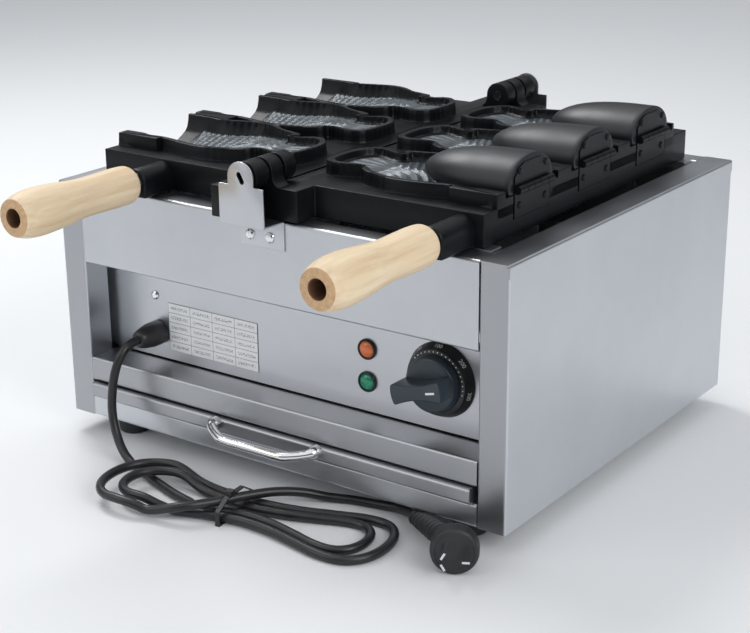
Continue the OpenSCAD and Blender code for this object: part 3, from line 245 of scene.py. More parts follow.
grain, g_in, g_out = shader_group("fine_grain", [("Vector", "Vector", None), ("Scale", "Float", 900.0)],
                                  [("Height", "Float")])
grain.links.new(noise(grain, g_in["Vector"], g_in["Scale"], 3.0), g_out["Height"])
print("groups:", [g.name for g in (tone, streak, grain)])

# %% [markdown]
# A finish starts from one function: it sets the shader's own sockets, places the slow tone on the
# colour and roughness, and adds a bump, of streaks where the pattern is three stretches and of grain
# where it is one scale. Object coordinates keep the scale real. A second function lays another
# colour over a finish where a mask is 1, and a third one gives a piece its materials.

# %% Finish functions
def finish(name, dark, light, smooth, rough, scale, depth=0.0, pattern=900.0, **sockets):
    """A material with a slow tone, and with a bump that is `depth` millimetres deep."""
    material = bpy.data.materials.new(name)
    material.use_nodes = True
    tree = material.node_tree
    shader = tree.nodes["Principled BSDF"]
    for label, value in sockets.items():
        shader.inputs[label.replace("_", " ")].default_value = value
    place = add_node(tree, "TexCoord").outputs["Object"]
    slow = add_node(tree, "Group", {"Vector": place, "Scale": scale, "Dark": (*dark, 1),
                                    "Light": (*light, 1), "Smooth": smooth, "Rough": rough},
                    node_tree=tone)
    tree.links.new(slow.outputs["Color"], shader.inputs["Base Color"])
    tree.links.new(slow.outputs["Roughness"], shader.inputs["Roughness"])
    if depth:
        group, label = (streak, "Stretch") if isinstance(pattern, tuple) else (grain, "Scale")
        fine = add_node(tree, "Group", {"Vector": place, label: pattern}, node_tree=group)
        bump = add_node(tree, "Bump", {"Distance": depth / 1000, "Strength": 1,
                                       "Height": fine.outputs["Height"]})
        tree.links.new(bump.outputs["Normal"], shader.inputs["Normal"])
    return material


def recolour(material, mask, colour):
    """Lays a colour over a finish where the mask is 1."""
    tree = material.node_tree
    base = tree.nodes["Principled BSDF"].inputs["Base Color"]
    tree.links.new(tone_mix(tree, mask, base.links[0].from_socket, (*colour, 1)), base)


def wear(piece, *materials):
    """Gives a piece these materials alone."""
    piece.data.materials.clear()
    for material in materials:
        piece.data.materials.append(material)


print("finish functions ready")

# %% [markdown]
# The sheets are brushed stainless steel. The front pieces wear a darker copy of it, and the drawer and its
# shelf a darker one still, as painted shade where less light falls. On the front posts a mask paints shade
# on the faces that lie in the front plane, so they look darker than the lit side of the same sheet. Bolts
# and bars are bright, and the hinge pin is painted near black, as the shade seen through the bracket's slot.

# %% Metals
BRUSHED = (5, 5, 700)


def metal(name, dark, light, *numbers):
    """A finish of bare metal."""
    return finish(name, dark, light, *numbers, Metallic=1)


steel = metal("brushed_stainless", (0.56, 0.58, 0.61), (0.64, 0.66, 0.69), 0.3, 0.38, 5, 0.012, BRUSHED)
steel_side_shaded_front = metal("side_sheet_front_shade", (0.56, 0.58, 0.61), (0.64, 0.66, 0.69), 0.3, 0.38, 5, 0.012, BRUSHED)
tree = steel_side_shaded_front.node_tree
# Painted shade: the faces in the front plane of the side sheets are darkened, since the light falls from the
# right.
painted_shade_plane = maths(tree, "LESS_THAN", object_place(tree)["Y"], at(0, 0.4, 0).y)
recolour(steel_side_shaded_front, painted_shade_plane, (0.4, 0.41, 0.43))
# Painted shade: the same steel, darker, for the front pieces that face away from the main lamp.
steel_front_shaded = metal("painted_shade_front", (0.52, 0.535, 0.56), (0.6, 0.615, 0.64), 0.3, 0.4, 5, 0.012, BRUSHED)
# Painted shade: a still darker copy for the drawer front and shelf, which sit recessed under the apron.
steel_drawer_shaded = metal("painted_shade_drawer", (0.36, 0.37, 0.39), (0.43, 0.44, 0.46), 0.28, 0.38, 5, 0.012, BRUSHED)
tray_steel = metal("plain_steel", (0.5, 0.51, 0.52), (0.58, 0.59, 0.6), 0.34, 0.5, 14, 0.01, (600, 6, 6))
bright = metal("bright_plate", (0.78, 0.79, 0.8), (0.86, 0.87, 0.88), 0.08, 0.16, 30, 0.002, 300)
# Painted shade: the hinge pin is nearly black, so that the slot in the bracket reads as shade.
pin_painted_shade = metal("pin_painted_shade", (0.02, 0.019, 0.018), (0.05, 0.046, 0.042), 0.4, 0.55, 60, 0.01)
copper = metal("copper_tube", (0.7, 0.4, 0.24), (0.8, 0.5, 0.32), 0.2, 0.35, 40, 0.004, 500)
element_skin = finish("element_sheath", (0.16, 0.13, 0.11), (0.3, 0.27, 0.24), 0.4, 0.6, 40, 0.03,
                      Metallic=0.8)
print("materials:", len(bpy.data.materials))

# %% [markdown]
# The plates are black castings with a satin coating on the floors of the moulds, where batter must not
# stick; its grey colour is also painted sheen, for the light that the coating reflects. The other dark
# pieces are moulded plastic or rubber, each with its own grain and gloss.

# %% Castings and mouldings
casting = finish("black_casting", (0.003, 0.0038, 0.0045), (0.006, 0.0075, 0.009), 0.3, 0.42, 26, 0.04,
                 1100, Specular_IOR_Level=0.19)
# Painted sheen: the coating's grey colour stands for the light it reflects, besides the coating itself.
satin_coat_with_sheen = finish("satin_coat_with_sheen", (0.055, 0.066, 0.076), (0.11, 0.128, 0.142), 0.34, 0.5, 40, 0.03,
                       1100, Metallic=0.35, Specular_IOR_Level=0.6)
core_black = finish("core_casting", (0.005, 0.006, 0.008), (0.009, 0.011, 0.014), 0.4, 0.5, 34, 0.03, 1400,
                    Specular_IOR_Level=0.55)
plastic = finish("black_moulding", (0.012, 0.012, 0.014), (0.02, 0.02, 0.023), 0.28, 0.4, 40, 0.012, 1500)
rubber = finish("black_rubber", (0.014, 0.014, 0.015), (0.026, 0.026, 0.028), 0.4, 0.55, 60, 0.02, 1800)
cord_skin = finish("cord_sheath", (0.01, 0.01, 0.011), (0.02, 0.02, 0.022), 0.28, 0.42, 50, 0.015, 2200)
tie_black = finish("tie_nylon", (0.012, 0.012, 0.013), (0.02, 0.02, 0.022), 0.25, 0.35, 60, 0.01)
slate = finish("slate_moulding", (0.017, 0.028, 0.038), (0.027, 0.041, 0.053), 0.3, 0.4, 40, 0.012, 1300)
print("materials:", len(bpy.data.materials))

# %% [markdown]
# What is left is small: the label's plate, the white print, the lamps, which glow a little, and the
# blocks, board and leads inside the cabinet.

# %% Label, lamps and inner parts
label_face = finish("bare_label", (0.8, 0.81, 0.82), (0.86, 0.87, 0.88), 0.32, 0.42, 30, 0.004, 700,
                    Metallic=0.1)
white_paint = finish("white_print", (0.7, 0.7, 0.68), (0.82, 0.82, 0.8), 0.4, 0.55, 60)
orange = finish("orange_lens", (0.3, 0.055, 0.015), (0.54, 0.12, 0.035), 0.06, 0.12, 90, 0.05, 260,
                Coat_Weight=0.5, Emission_Strength=0.15, Emission_Color=(0.9, 0.25, 0.05, 1))
green = finish("green_lens", (0, 0.07, 0.035), (0, 0.2, 0.1), 0.06, 0.12, 90, 0.05, 260,
               Coat_Weight=0.5, Emission_Strength=0.1, Emission_Color=(0, 0.5, 0.25, 1))
cream = finish("cream_block", (0.72, 0.68, 0.58), (0.82, 0.79, 0.7), 0.5, 0.7, 60, 0.02)
fibre = finish("mineral_board", (0.66, 0.62, 0.52), (0.82, 0.79, 0.7), 0.85, 0.95, 120, 0.4, 500)
sleeve_grey = finish("wire_sleeve", (0.5, 0.5, 0.48), (0.66, 0.66, 0.63), 0.6, 0.75, 80, 0.05)
print("materials:", len(bpy.data.materials))

# %% [markdown]
# Every solid of the frame wears one finish, also those that a new piece will stand for.

# %% Wear
WEAR = {
    steel: "rear_apron base_pan back_panel well_rails plate_rests drawer_runners element_supports",
    steel_side_shaded_front: "side_panel_left side_panel_right",
    steel_front_shaded: "front_apron control_panel hinge_bracket_front hinge_bracket_back",
    steel_drawer_shaded: "front_shelf drawer_front",
    tray_steel: "heater_well drawer_tray",
    bright: "hinge_pin_front hinge_pin_back bracket_screws cabinet_screws drawer_handle left_handle_rod "
            "right_handle_rod plug_pins thermostat_shaft",
    casting: "left_plate right_plate left_knuckles right_knuckles core_hinges core_pins leaf_screws "
             "core_leaf_front core_leaf_middle core_leaf_back",
    core_black: "core_front core_middle core_back",
    plastic: "lamp_bezels dial_bezel cord_gland",
    slate: "thermostat_knob",
    rubber: "feet plug",
    cord_skin: "cord_lead cord_hank cord_tail",
    tie_black: "cord_tie",
    orange: "lamp_orange",
    green: "lamp_green",
    label_face: "rating_plate",
    cream: "terminal_block thermostat_body left_handle_grip right_handle_grip",
    fibre: "insulation_board",
    copper: "thermostat_probe",
    element_skin: "heating_elements",
    sleeve_grey: "wiring",
}
for material, names in WEAR.items():
    for name in names.split():
        wear(NODES[name], material)
print("finished solids:", sum(len(names.split()) for names in WEAR.values()), "of", len(NODES))

# %% [markdown]
# Pieces made by hand need a few helpers. The first ones select a piece, start a mesh from points and
# run steps of edit mode on the whole of it.

# %% Mesh helpers
def only(piece):
    """Selects one object alone and makes it active."""
    bpy.ops.object.select_all(action="DESELECT")
    piece.select_set(True)
    bpy.context.view_layer.objects.active = piece


def mesh_object(name, points, edges=(), faces=()):
    """A new mesh object from points in metres."""
    mesh = bpy.data.meshes.new(name)
    mesh.from_pydata([tuple(p) for p in points], edges, faces)
    piece = new_object(name, mesh)
    only(piece)
    return piece


def edited(piece, *steps):
    """Runs edit mode steps on all of a piece's geometry."""
    only(piece)
    bpy.ops.object.mode_set(mode="EDIT")
    for step in steps:
        bpy.ops.mesh.select_all(action="SELECT")
        step()
    bpy.ops.object.mode_set(mode="OBJECT")
    return piece


def merge():
    bpy.ops.mesh.remove_doubles(threshold=1e-6)


def face_out():
    bpy.ops.mesh.normals_make_consistent(inside=False)


print("mesh helpers ready")

# %% [markdown]
# A profile is spun round an axis for turned pieces such as knobs and pins. An outline, often with an
# arc in it, is extruded for plates and blocks.

# %% Spin and extrude
def turned_piece(name, profile, origin, way, steps):
    """Spins a profile of (radius, height) in millimetres round an axis through the origin given."""
    points = [(r / 1000, 0, h / 1000) for r, h in profile]
    chain = [(i, i + 1) for i in range(len(points) - 1)]
    piece = mesh_object(name, points, chain)
    edited(piece, lambda: bpy.ops.mesh.spin(steps=steps, angle=2 * math.pi, center=(0, 0, 0),
                                            axis=(0, 0, 1)), merge, face_out)
    turn = Vector(way).to_track_quat("Z", "Y").to_matrix().to_4x4()
    piece.data.transform(Matrix.Translation(origin) @ turn)
    return piece


def block(name, outline, depth, place):
    """Extrudes an outline of (a, b) in millimetres, and puts each point by place(a, b, c)."""
    piece = mesh_object(name, [(a / 1000, b / 1000, 0) for a, b in outline], (), [range(len(outline))])
    edited(piece, lambda: bpy.ops.mesh.extrude_region_move(
        TRANSFORM_OT_translate={"value": (0, 0, depth / 1000)}))
    for vertex in piece.data.vertices:
        a, b, c = (1000 * v for v in vertex.co)
        vertex.co = place(a, b, c)
    edited(piece, merge, face_out)
    return piece


def facing(y):
    """Places an outline seen from the front, extruded backwards from y, in drawing millimetres."""
    return lambda a, b, c: Vector((a, c + y, b)) / 1000


def arc(radius, x, z, first, last, step):
    """Points on an arc round (x, z), by degrees."""
    return [(x + radius * math.cos(math.radians(q)), z + radius * math.sin(math.radians(q)))
            for q in range(first, last, step)]


print("spin and extrude ready")

# %% [markdown]
# A bevel rounds the edges so that they catch light, and a closed cutter carves holes. A finished piece keeps
# its object at the origin, gets its finish and its body, and hides the solids that it stands for.

# %% Finishing helpers
def apply(piece, kind, **settings):
    """Adds a modifier with its settings and applies it."""
    only(piece)
    modifier = piece.modifiers.new(kind.lower(), kind)
    for label, value in settings.items():
        setattr(modifier, label, value)
    bpy.ops.object.modifier_apply(modifier=modifier.name)
    return piece


def soften(piece, width, segments, angle=35):
    """Rounds every edge sharper than an angle."""
    return apply(piece, "BEVEL", width=width / 1000, segments=segments, limit_method="ANGLE",
                 angle_limit=math.radians(angle), use_clamp_overlap=True)


def carve(piece, cutter):
    """Cuts a closed form out of a piece, and deletes the cutter."""
    apply(piece, "BOOLEAN", object=cutter, operation="DIFFERENCE", solver="EXACT")
    bpy.data.objects.remove(cutter)
    return piece


def joined(name, pieces):
    """Joins pieces into the first."""
    only(pieces[0])
    for piece in pieces:
        piece.select_set(True)
    bpy.ops.object.join()
    pieces[0].name = name
    return pieces[0]


def done(piece, material, body, slot, *replaced, angle=35):
    """Gives a piece its finish, smooth shading and body, and hides what it stands for; the slot is not used.
    """
    only(piece)
    if piece.type == "MESH":
        bpy.ops.object.shade_smooth_by_angle(angle=math.radians(angle))
    if material:
        wear(piece, material)
    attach(piece, body)
    if replaced:
        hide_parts(*replaced)
    print(piece.name, [round(1000 * side) for side in piece.dimensions], "mm")
    return piece


print("finishing helpers ready")

# %% [markdown]
# A mains cord is a round sheath of one thickness that can't bend sharply. It needs a smooth line, so
# one function samples a curve through a few points, and another gives such a line a round bevel.

# %% Smooth lines and round bars
def smooth_line(points, step):
    """Samples a curve through points, about `step` millimetres apart."""
    ends = [2 * points[0] - points[1]] + points + [2 * points[-1] - points[-2]]
    line = [points[0]]
    for p, a, b, q in zip(ends, ends[1:], ends[2:], ends[3:]):
        pull = (b - a).length
        count = max(1, round(pull / step))
        lean_a = (b - p).normalized() * pull
        lean_b = (q - a).normalized() * pull
        for k in range(1, count + 1):
            f = k / count
            line.append((2 * f**3 - 3 * f**2 + 1) * a + (f**3 - 2 * f**2 + f) * lean_a
                        + (3 * f**2 - 2 * f**3) * b + (f**3 - f**2) * lean_b)
    return line


def round_bar(name, line, thickness, resolution):
    """A curve with a round bevel along a line of points in the frame."""
    curve = bpy.data.curves.new(name, "CURVE")
    curve.dimensions = "3D"
    curve.bevel_depth = thickness / 2000
    curve.bevel_resolution = resolution
    curve.use_fill_caps = True
    spline = curve.splines.new("POLY")
    spline.use_smooth = True
    spline.points.add(len(line) - 1)
    for point, place in zip(spline.points, line):
        point.co = (*place, 1)
    return new_object(name, curve)


print("smooth lines ready")

# %% [markdown]
# The spare length is wound twice round into a flat hank. Its loops are one formula of an angle: an
# ellipse that widens from turn to turn, is pinched where the tie holds it, and climbs over itself.

# %% Hank
CORD = 8.5
LIE = CORD / 2 - FOOT
HANK_X, HANK_Y, HANK_TURN = 26, -64, math.radians(7)


def hank(q):
    """A point of the tied hank at the angle q in degrees."""
    t = (q + 90) / 360
    c, s = math.cos(math.radians(q)), math.sin(math.radians(q))
    x = (112 + 20 * t) * c
    y = s * (5 + 11 * t + (46 + 16 * t + 8 * c) * c * c)
    g = min(max((-c - 0.45) / 0.25, 0), 1)
    rise = 9.4 * g * g * (3 - 2 * g) + 1.8 * abs(s) ** 6
    return Vector((HANK_X + x * math.cos(HANK_TURN) - y * math.sin(HANK_TURN),
                   HANK_Y + x * math.sin(HANK_TURN) + y * math.cos(HANK_TURN), LIE + rise))


def hank_way(q):
    """The direction of the cord at the angle q."""
    return (hank(q + 1) - hank(q - 1)).normalized()


print("hank starts at", [round(v) for v in hank(-90)])

# %% [markdown]
# The cord leaves the gland, drops to the counter, goes round the hank and comes out to the sleeve of
# the plug. It follows the same points as the solid, at the sheath's real thickness.

# %% Mains cord
GLAND_X, GLAND_Z = -163, 88
PLUG_AT = Vector((227, -41, 0.8))
PLUG_WAY = Vector((50, -86, 0)).normalized()
SLEEVE_WAY = Vector((-70, 44, -10.5)).normalized()
NECK, SLEEVE = 30, 54
SLEEVE_START = PLUG_AT - 4 * PLUG_WAY
SLEEVE_END = SLEEVE_START + (NECK + SLEEVE) * SLEEVE_WAY
FIRST, LAST = -105, 590
hank_in = hank(FIRST) - CORD * hank_way(FIRST)
hank_out = hank(LAST) + CORD * hank_way(LAST)
lead = [(GLAND_X, 10, GLAND_Z), (GLAND_X, -2, GLAND_Z), (-164, -15, 82), (-167, -23, 66), (-169, -27, 46),
        (-168, -30, 26), (-162, -33, 8), (-150, -38, -6), (-134, -43, -14), (-116, -48, LIE),
        (-98, -55, LIE), (-78, -62, LIE), (-56, -69, LIE), (-34, -74, LIE)]
tail = [(-18, -104, -4.4), (2, -78, -4), (16, -54, -4), (30, -32, -5), (46, -12, -9), (64, 3, LIE + 1),
        (84, 12, LIE), (106, 17, LIE), (128, 18, LIE + 2)]
route = [Vector(p) for p in lead] + [hank_in - 9 * hank_way(FIRST), hank_in]
route += [hank(q) for q in range(FIRST, LAST, 15)] + [hank(LAST), hank_out, hank_out + 9 * hank_way(LAST)]
route += [Vector(p) for p in tail] + [SLEEVE_END + 9 * SLEEVE_WAY, SLEEVE_END - 6 * SLEEVE_WAY]
centre_line = [at(*p) for p in smooth_line(route, 4.0)]
mains_cord = round_bar("mains_cord", centre_line, CORD, 5)
done(mains_cord, cord_skin, "cabinet", "cord", "cord_lead", "cord_hank", "cord_tail")

# %% [markdown]
# The plug is a thick rubber disc with a sleeve that leaves its back. The sleeve is smooth where it
# joins the disc and ribbed where it has to flex. Both are turned from profiles.

# %% Plug
disc_profile = [(0, -10), (14.6, -10), (16.4, -9.4), (18.6, -7.4), (19.9, -5.2), (20.5, -2.5), (20.5, 6.6),
                (20.2, 8.2), (19.4, 9.5), (18.2, 10), (16.6, 10), (16.2, 9.5), (0, 9.5)]
boot_profile = [(0, -2), (12.6, -2), (12.8, 6), (11.9, 12), (10.5, 18), (9.6, 22), (9.1, 26), (9, NECK)]
RIBS = 8
for k in range(RIBS):
    for f, swell in ((0.08, 1.0), (0.42, 1.15), (0.58, -0.5), (0.92, -0.5)):
        share = (k + f) / RIBS
        boot_profile.append((9 + (CORD / 2 + 1.9 - 9) * share + swell, NECK + SLEEVE * share))
boot_profile += [(CORD / 2 + 1.2, NECK + SLEEVE), (CORD / 2 - 0.1, NECK + SLEEVE), (0, NECK + SLEEVE - 1)]
disc = turned_piece("plug_disc", disc_profile, at(*PLUG_AT), PLUG_WAY, 72)
boot = turned_piece("plug_boot", boot_profile, at(*SLEEVE_START), SLEEVE_WAY, 40)
plug = done(joined("plug_body", [disc, boot]), rubber, "cabinet", "rubber", "plug", angle=50)

# %% [markdown]
# The gland is a bell of black moulding that keeps the cord from bending sharply at the panel. We turn it
# from one profile.

# %% Gland
bell = [(0, 32), (CORD / 2 + 0.1, 32), (CORD / 2 + 1.4, 32), (6.9, 31.2), (8.2, 29.6), (9.4, 26),
        (10.4, 22.4), (11.3, 17), (11.9, 14), (12, 11), (12, 3), (11.4, 1), (10.8, 0), (10, 0), (10, -4),
        (11, -4), (11, -10), (0, -10)]
gland = turned_piece("cord_gland_bell", bell, at(GLAND_X, PANEL_Y, GLAND_Z), TO_FRONT, 48)
done(gland, plastic, "cabinet", "rubber", "cord_gland", angle=50)


# %% [markdown]
# Each plate is one black casting. Three fish-shaped walls stand on a flat web, and inside each wall
# lies half a fish, pressed deep, with its fins and scales in relief. One outline serves all: we walk
# round the fish, from the open mouth along the back to the tail and home along the belly.

# %% Fish outline
WEB, RIM, UNDER, OUT, MOUTH = 265.0, 276.9, 236.5, 210.5, 43.0
MOUTH_BACK, MOUTH_BELLY, PAST = 48, -56, 216
PITCH = 110
FISH_Y = [DEPTH / 2 + PITCH * k for k in (-1, 0, 1)]
back = [(60, 29.5), (61.5, 34), (72, 37.5), (88, 42), (105, 52), (122, 55.5), (142, 51), (162, 45),
        (186, 48)]
tail_top = [(25, 25), (34, 32.5), (43, 32), (54, 25), (67, 21)]
tail_end = [(16, -14), (16, 2), (18, 14)]
tail_low = [(61, -33), (50, -35.5), (38, -39), (26, -38), (19, -32)]
belly = [(188, -54), (163, -50), (134, -56), (106, -58.5), (84, -53), (64, -42)]
fish = belly + tail_low + tail_end + tail_top + back
corners = ([(PAST, MOUTH_BACK), (OUT, MOUTH_BACK)] + fish[::-1]
           + [(OUT, MOUTH_BELLY), (PAST, MOUTH_BELLY)])
rim_line = smooth_line([Vector((u, v, 0)) for u, v in corners], 2.2)


def outward_of(line):
    """Unit vectors that point out of the fish, one for each point of a line round it."""
    runs = [(b - a).normalized() for a, b in zip([line[0]] + line[:-1], line[1:] + [line[-1]])]
    return [Vector((run.y, -run.x, 0)) for run in runs]


def inset(line, distance):
    """A line pushed inwards in small steps and smoothed, so that sharp tips don't cross over."""
    rounds = max(2, round(distance / 0.2))
    for _ in range(rounds):
        line = [p - distance / rounds * n for p, n in zip(line, outward_of(line))]
        eased = [b.lerp((a + c) / 2, 0.5) for a, b, c in zip(line, line[1:], line[2:])]
        line = [line[0]] + eased + [line[-1]]
    return line


def smooth(value, low, high):
    """A soft step from 0 at low to 1 at high."""
    f = min(max((value - low) / (high - low), 0), 1)
    return f * f * (3 - 2 * f)


WALL = 5.5
outward = outward_of(rim_line)
inner_line = []
for p, q in zip(rim_line, inset(rim_line, WALL)):
    straight = Vector((p.x, math.copysign(MOUTH, p.y), 0))
    inner_line.append(q.lerp(straight, smooth(p.x, 174, 190)))
inner_out = outward_of(inner_line)
print("fish outline:", len(rim_line), "points")

# %% [markdown]
# The relief on the floor of a mould is built from soft ridges: rays across the back fin, arcs round
# the breast fin with a raised ring at their root, scales further forward, a line along the middle
# and faint rays in the tail. Each fades where the next begins.

# %% Relief
def ridge(f, power=1.5):
    """A row of round ridges, one for each whole number."""
    return (0.5 + 0.5 * math.cos(2 * math.pi * f)) ** power


def relief(u, v, d):
    """Height of the fish's relief at a point, d millimetres from the wall."""
    inner = smooth(d, 1, 4)
    body = smooth(u, 62, 74) * (1 - smooth(u, 184, 194)) * inner
    rays = 2.0 * ridge((u + 0.5 * v) / 7.6, 1) * smooth(v, 2, 9) * smooth(d, 2, 7)
    r = math.hypot(u - 75, v + 36)
    arc_field = (1 - smooth(v, 3, 12)) * (1 - smooth(r, 55, 61))
    arcs = 2.6 * ridge((r - 17) / 9.6, 1.2) * smooth(r, 10, 15) * arc_field
    ring = 2.6 * math.exp(-((r - 7) / 1.8) ** 2) - 2.0 * math.exp(-(r / 3.6) ** 2)
    row = round((u - 118) / 8.0)
    across = (v + 5.0 * (row % 2)) / 10.0
    scale_r = math.hypot((u - 118) - 8.0 * row + 5.0, 10.0 * (across - round(across)))
    scales = 1.8 * math.exp(-((scale_r - 6.0) / 1.5) ** 2) * (1 - smooth(v, 0, 7)) * smooth(r, 57, 63)
    spine = 1.9 * math.exp(-((v - 1.5 - 3.0 * math.sin(u / 14)) / 2.2) ** 2) * smooth(u, 100, 110)
    angle = math.degrees(math.atan2(v + 3, 84 - u))
    tail = 0.9 * ridge(angle / 12.0) * (1 - smooth(u, 52, 62)) * smooth(d, 3, 8)
    return body * (rays + arcs + scales + spine) + ring * inner + tail


print("relief at the root of the breast fin:", round(relief(75, -29, 9), 1), "mm")

# %% [markdown]
# The floor is a dense net of triangles inside the wall. Its depth grows from the tail to the mouth
# and it rounds up to the wall, so each point asks how far the wall is.

# %% Mould floor
edge_line = inset(inner_line, 0.7)
near = kdtree.KDTree(4 * len(edge_line))
for i, (a, b) in enumerate(zip(edge_line, edge_line[1:])):
    for k in range(4):
        near.insert(a.lerp(b, k / 4), 4 * i + k)
near.balance()
NET = 1.6
net = [p.to_2d() for p in edge_line]
border = len(net)
for i in range(9, 136):
    for j in range(-40, 40):
        u, v = NET * i, NET * (j + 0.5 * (i % 2))
        if near.find((u, v, 0))[2] > 0.6 * NET:
            net.append(Vector((u, v)))
ring_edges = [(i, (i + 1) % border) for i in range(border)]
flat, _, net_faces, source, _, _ = geometry.delaunay_2d_cdt(net, ring_edges, [], 1, 1e-6)
floor_points = []
for p in flat:
    d = near.find((p.x, p.y, 0))[2]
    deep = 1.6 + 3.2 * smooth(p.x, 40, 90) + 17.6 * smooth(p.x, 94, 160)
    shelf = min(1.6 + 5.5 * smooth(p.x, 60, 120), deep)
    near_wall, middle = min(d / 6.5, 1), min(d / 38, 1)
    z = 271.2 - shelf * math.sqrt(1 - (1 - near_wall) ** 2) - (deep - shelf) * math.sin(middle * math.pi / 2)
    floor_points.append((p.x, p.y, z + relief(p.x, p.y, d)))
border_at = {origins[0]: i for i, origins in enumerate(source) if origins and origins[0] < border}
print("mould floor:", len(floor_points), "points,", len(net_faces), "triangles")

# %% [markdown]
# A fish shell is a closed form: it starts on the underside, climbs the outer wall with a small
# fillet at the web, turns over the rim and falls into the mould. Two profiles give each ring's
# distance from the line and its height. Upright flutes mark the fins outside and the back inside.

# %% Flutes
OUTER = [(-1.0, 239.5), (-1.0, 262.5), (1.9, 263.9), (1.2, 265.2), (0.75, 267.0), (0.35, 271.5),
         (0.0, 275.9), (-0.25, 276.6), (-0.8, RIM)]
INNER = [(0.8, RIM), (0.25, 276.6), (0.0, 275.9), (-0.3, 273.4)]


def flutes(line, pitch, depth, mask):
    """Depth of the upright flutes along a line, one for each point."""
    run = [0.0]
    for a, b in zip(line, line[1:]):
        run.append(run[-1] + (b - a).length)
    return [depth * ridge(s / pitch, 1) * mask(p) for s, p in zip(run, line)]


def between(value, low, low_full, high_full, high):
    """A soft window that rises from low to low_full and falls from high_full to high."""
    return smooth(value, low, low_full) * (1 - smooth(value, high_full, high))


outer_flutes = flutes(rim_line, 7.4, 0.7, lambda p: max(
    1 - smooth(p.x, 62, 70), (p.y < 0) * (between(p.x, 76, 80, 98, 106) + between(p.x, 158, 162, 186, 192))))
inner_flutes = flutes(inner_line, 7.6, 1.0, lambda p: (p.y > 4) * between(p.x, 24, 30, 165, 172))
print("deepest flutes:", round(max(outer_flutes), 2), round(max(inner_flutes), 2), "mm")

# %% [markdown]
# The shell's rings and the floor's net become one mesh, which runs past the mouth and is bisected there. The
# floor wears the satin coating with its painted sheen, but stays black near the wall and in the mouth, where
# the core sits; the black there is also painted shade, where the walls shade the floor.

# %% Fish shell
# The painted sheen ends at x = 187 and 3.5 mm from the wall; beyond, the floor keeps the black casting as
# painted shade.
COAT_SHEEN_TO, COAT_SHEEN_FROM_WALL = 187, 3.5


def cut_off(place, way):
    """Bisects what is selected and drops what lies beyond a place in drawing millimetres."""
    bpy.ops.mesh.bisect(plane_co=[v / 1000 for v in place], plane_no=way, use_fill=True,
                        clear_outer=True)


def fish_shell(cut):
    """One fish as a closed mesh in drawing millimetres, cut off at x = cut."""
    points = [(*(p + (d - cut_in * (264 < z < 276.7)) * n).to_2d(), z) for d, z in OUTER
              for p, n, cut_in in zip(rim_line, outward, outer_flutes)]
    points += [(*(p + (d + cut_in * (z < 276.7)) * n).to_2d(), z) for d, z in INNER
               for p, n, cut_in in zip(inner_line, inner_out, inner_flutes)]
    rings, n = len(OUTER) + len(INNER), len(rim_line)
    first_floor = len(points)
    points += floor_points
    faces = [list(range(n))]
    for r in range(rings):
        for i in range(n - 1):
            if r + 1 < rings:
                upper = (r * n + n + i, r * n + n + i + 1)
            else:
                upper = (first_floor + border_at[i], first_floor + border_at[i + 1])
            faces.append((r * n + i, r * n + i + 1, upper[1], upper[0]))
    faces += [[first_floor + i for i in face] for face in net_faces]
    shell = mesh_object("fish_shell", [Vector(p) / 1000 for p in points], (), faces)
    wear(shell, casting, satin_coat_with_sheen)
    # Painted sheen on the coated floor faces, and painted shade (black) near the wall and in the mouth.
    for face in shell.data.polygons[-len(net_faces):]:
        middle = 1000 * face.center
        if middle.x < COAT_SHEEN_TO and near.find((middle.x, middle.y, 0))[2] > COAT_SHEEN_FROM_WALL:
            face.material_index = 1
    edited(shell, merge, bpy.ops.mesh.delete_loose)
    return edited(shell, lambda: cut_off((cut, 0, 0), (1, 0, 0)), face_out)


print("fish shell ready:", len(OUTER) + len(INNER), "rings")

# %% [markdown]
# The plates are drawn in millimetres on their own and then moved into the frame. The left plate is
# drawn like the right one and mirrored, which turns its faces inside out, so they are flipped.

# %% Placing and plain blocks
def in_drawing(piece, mirrored=False):
    """Moves a mesh from drawing metres to its place in the frame, mirrored for the left plate."""
    turn = Matrix.Diagonal((-1 if mirrored else 1, 1, 1, 1))
    piece.data.transform(Matrix.Translation(at(0, 0, 0)) @ turn)
    if mirrored:
        piece.data.flip_normals()
    return piece


def box_of(name, low, high, rounded=0.0):
    """A block between two corners in drawing millimetres, with rounded edges."""
    size = [(b - a) / 1000 for a, b in zip(low, high)]
    middle = [(a + b) / 2000 for a, b in zip(low, high)]
    bpy.ops.mesh.primitive_cube_add(size=1, location=middle, scale=size)
    piece = bpy.context.object
    piece.name = name
    bpy.ops.object.transform_apply(location=True, rotation=False, scale=True)
    return soften(piece, rounded, 3) if rounded else piece


def slab_of(outline, low, high, rounded=0.0):
    """A plate from a plan outline between two levels, in drawing millimetres."""
    piece = block("slab", outline, high - low, lambda a, b, c: Vector((a, b, c + low)) / 1000)
    return soften(piece, rounded, 3) if rounded else piece


print("placing helpers ready")

# %% [markdown]
# The casting below the fish is a slab with ears for the hinge, a block along the mouths and a boss
# for the handle. Fish-shaped wells are carved out of slab and block, where the shells then sit.
# The right plate keeps a thin wall across each mouth, with a pocket for the core's hinge leaf.

# %% Plates
EAR_FROM, EAR_TO, SIDE_Y = 2, 39, 24.5
SLOPE_TO, BLOCK_FROM, BLOCK_LOW = 18, 163, 255


def wells(end):
    """Three fish-shaped cutters that end at x = end."""
    cutters = []
    outline = [(min(p.x, end), p.y) for p in inset(rim_line, WALL / 2) if p.x < end + 2]
    for y in FISH_Y:
        cutters.append(slab_of([(u, v + y) for u, v in outline], 240.5, 300))
    return joined("wells", cutters)


def boss(x, out):
    """The rounded block that holds a handle rod."""
    outline = [(x + 12, UNDER)] + arc(12, x, ROD_Z, 0, 181, 9) + [(x - 12, UNDER)]
    return soften(block("boss", outline, out + 27, facing(-out)), 2.6, 4, 50)


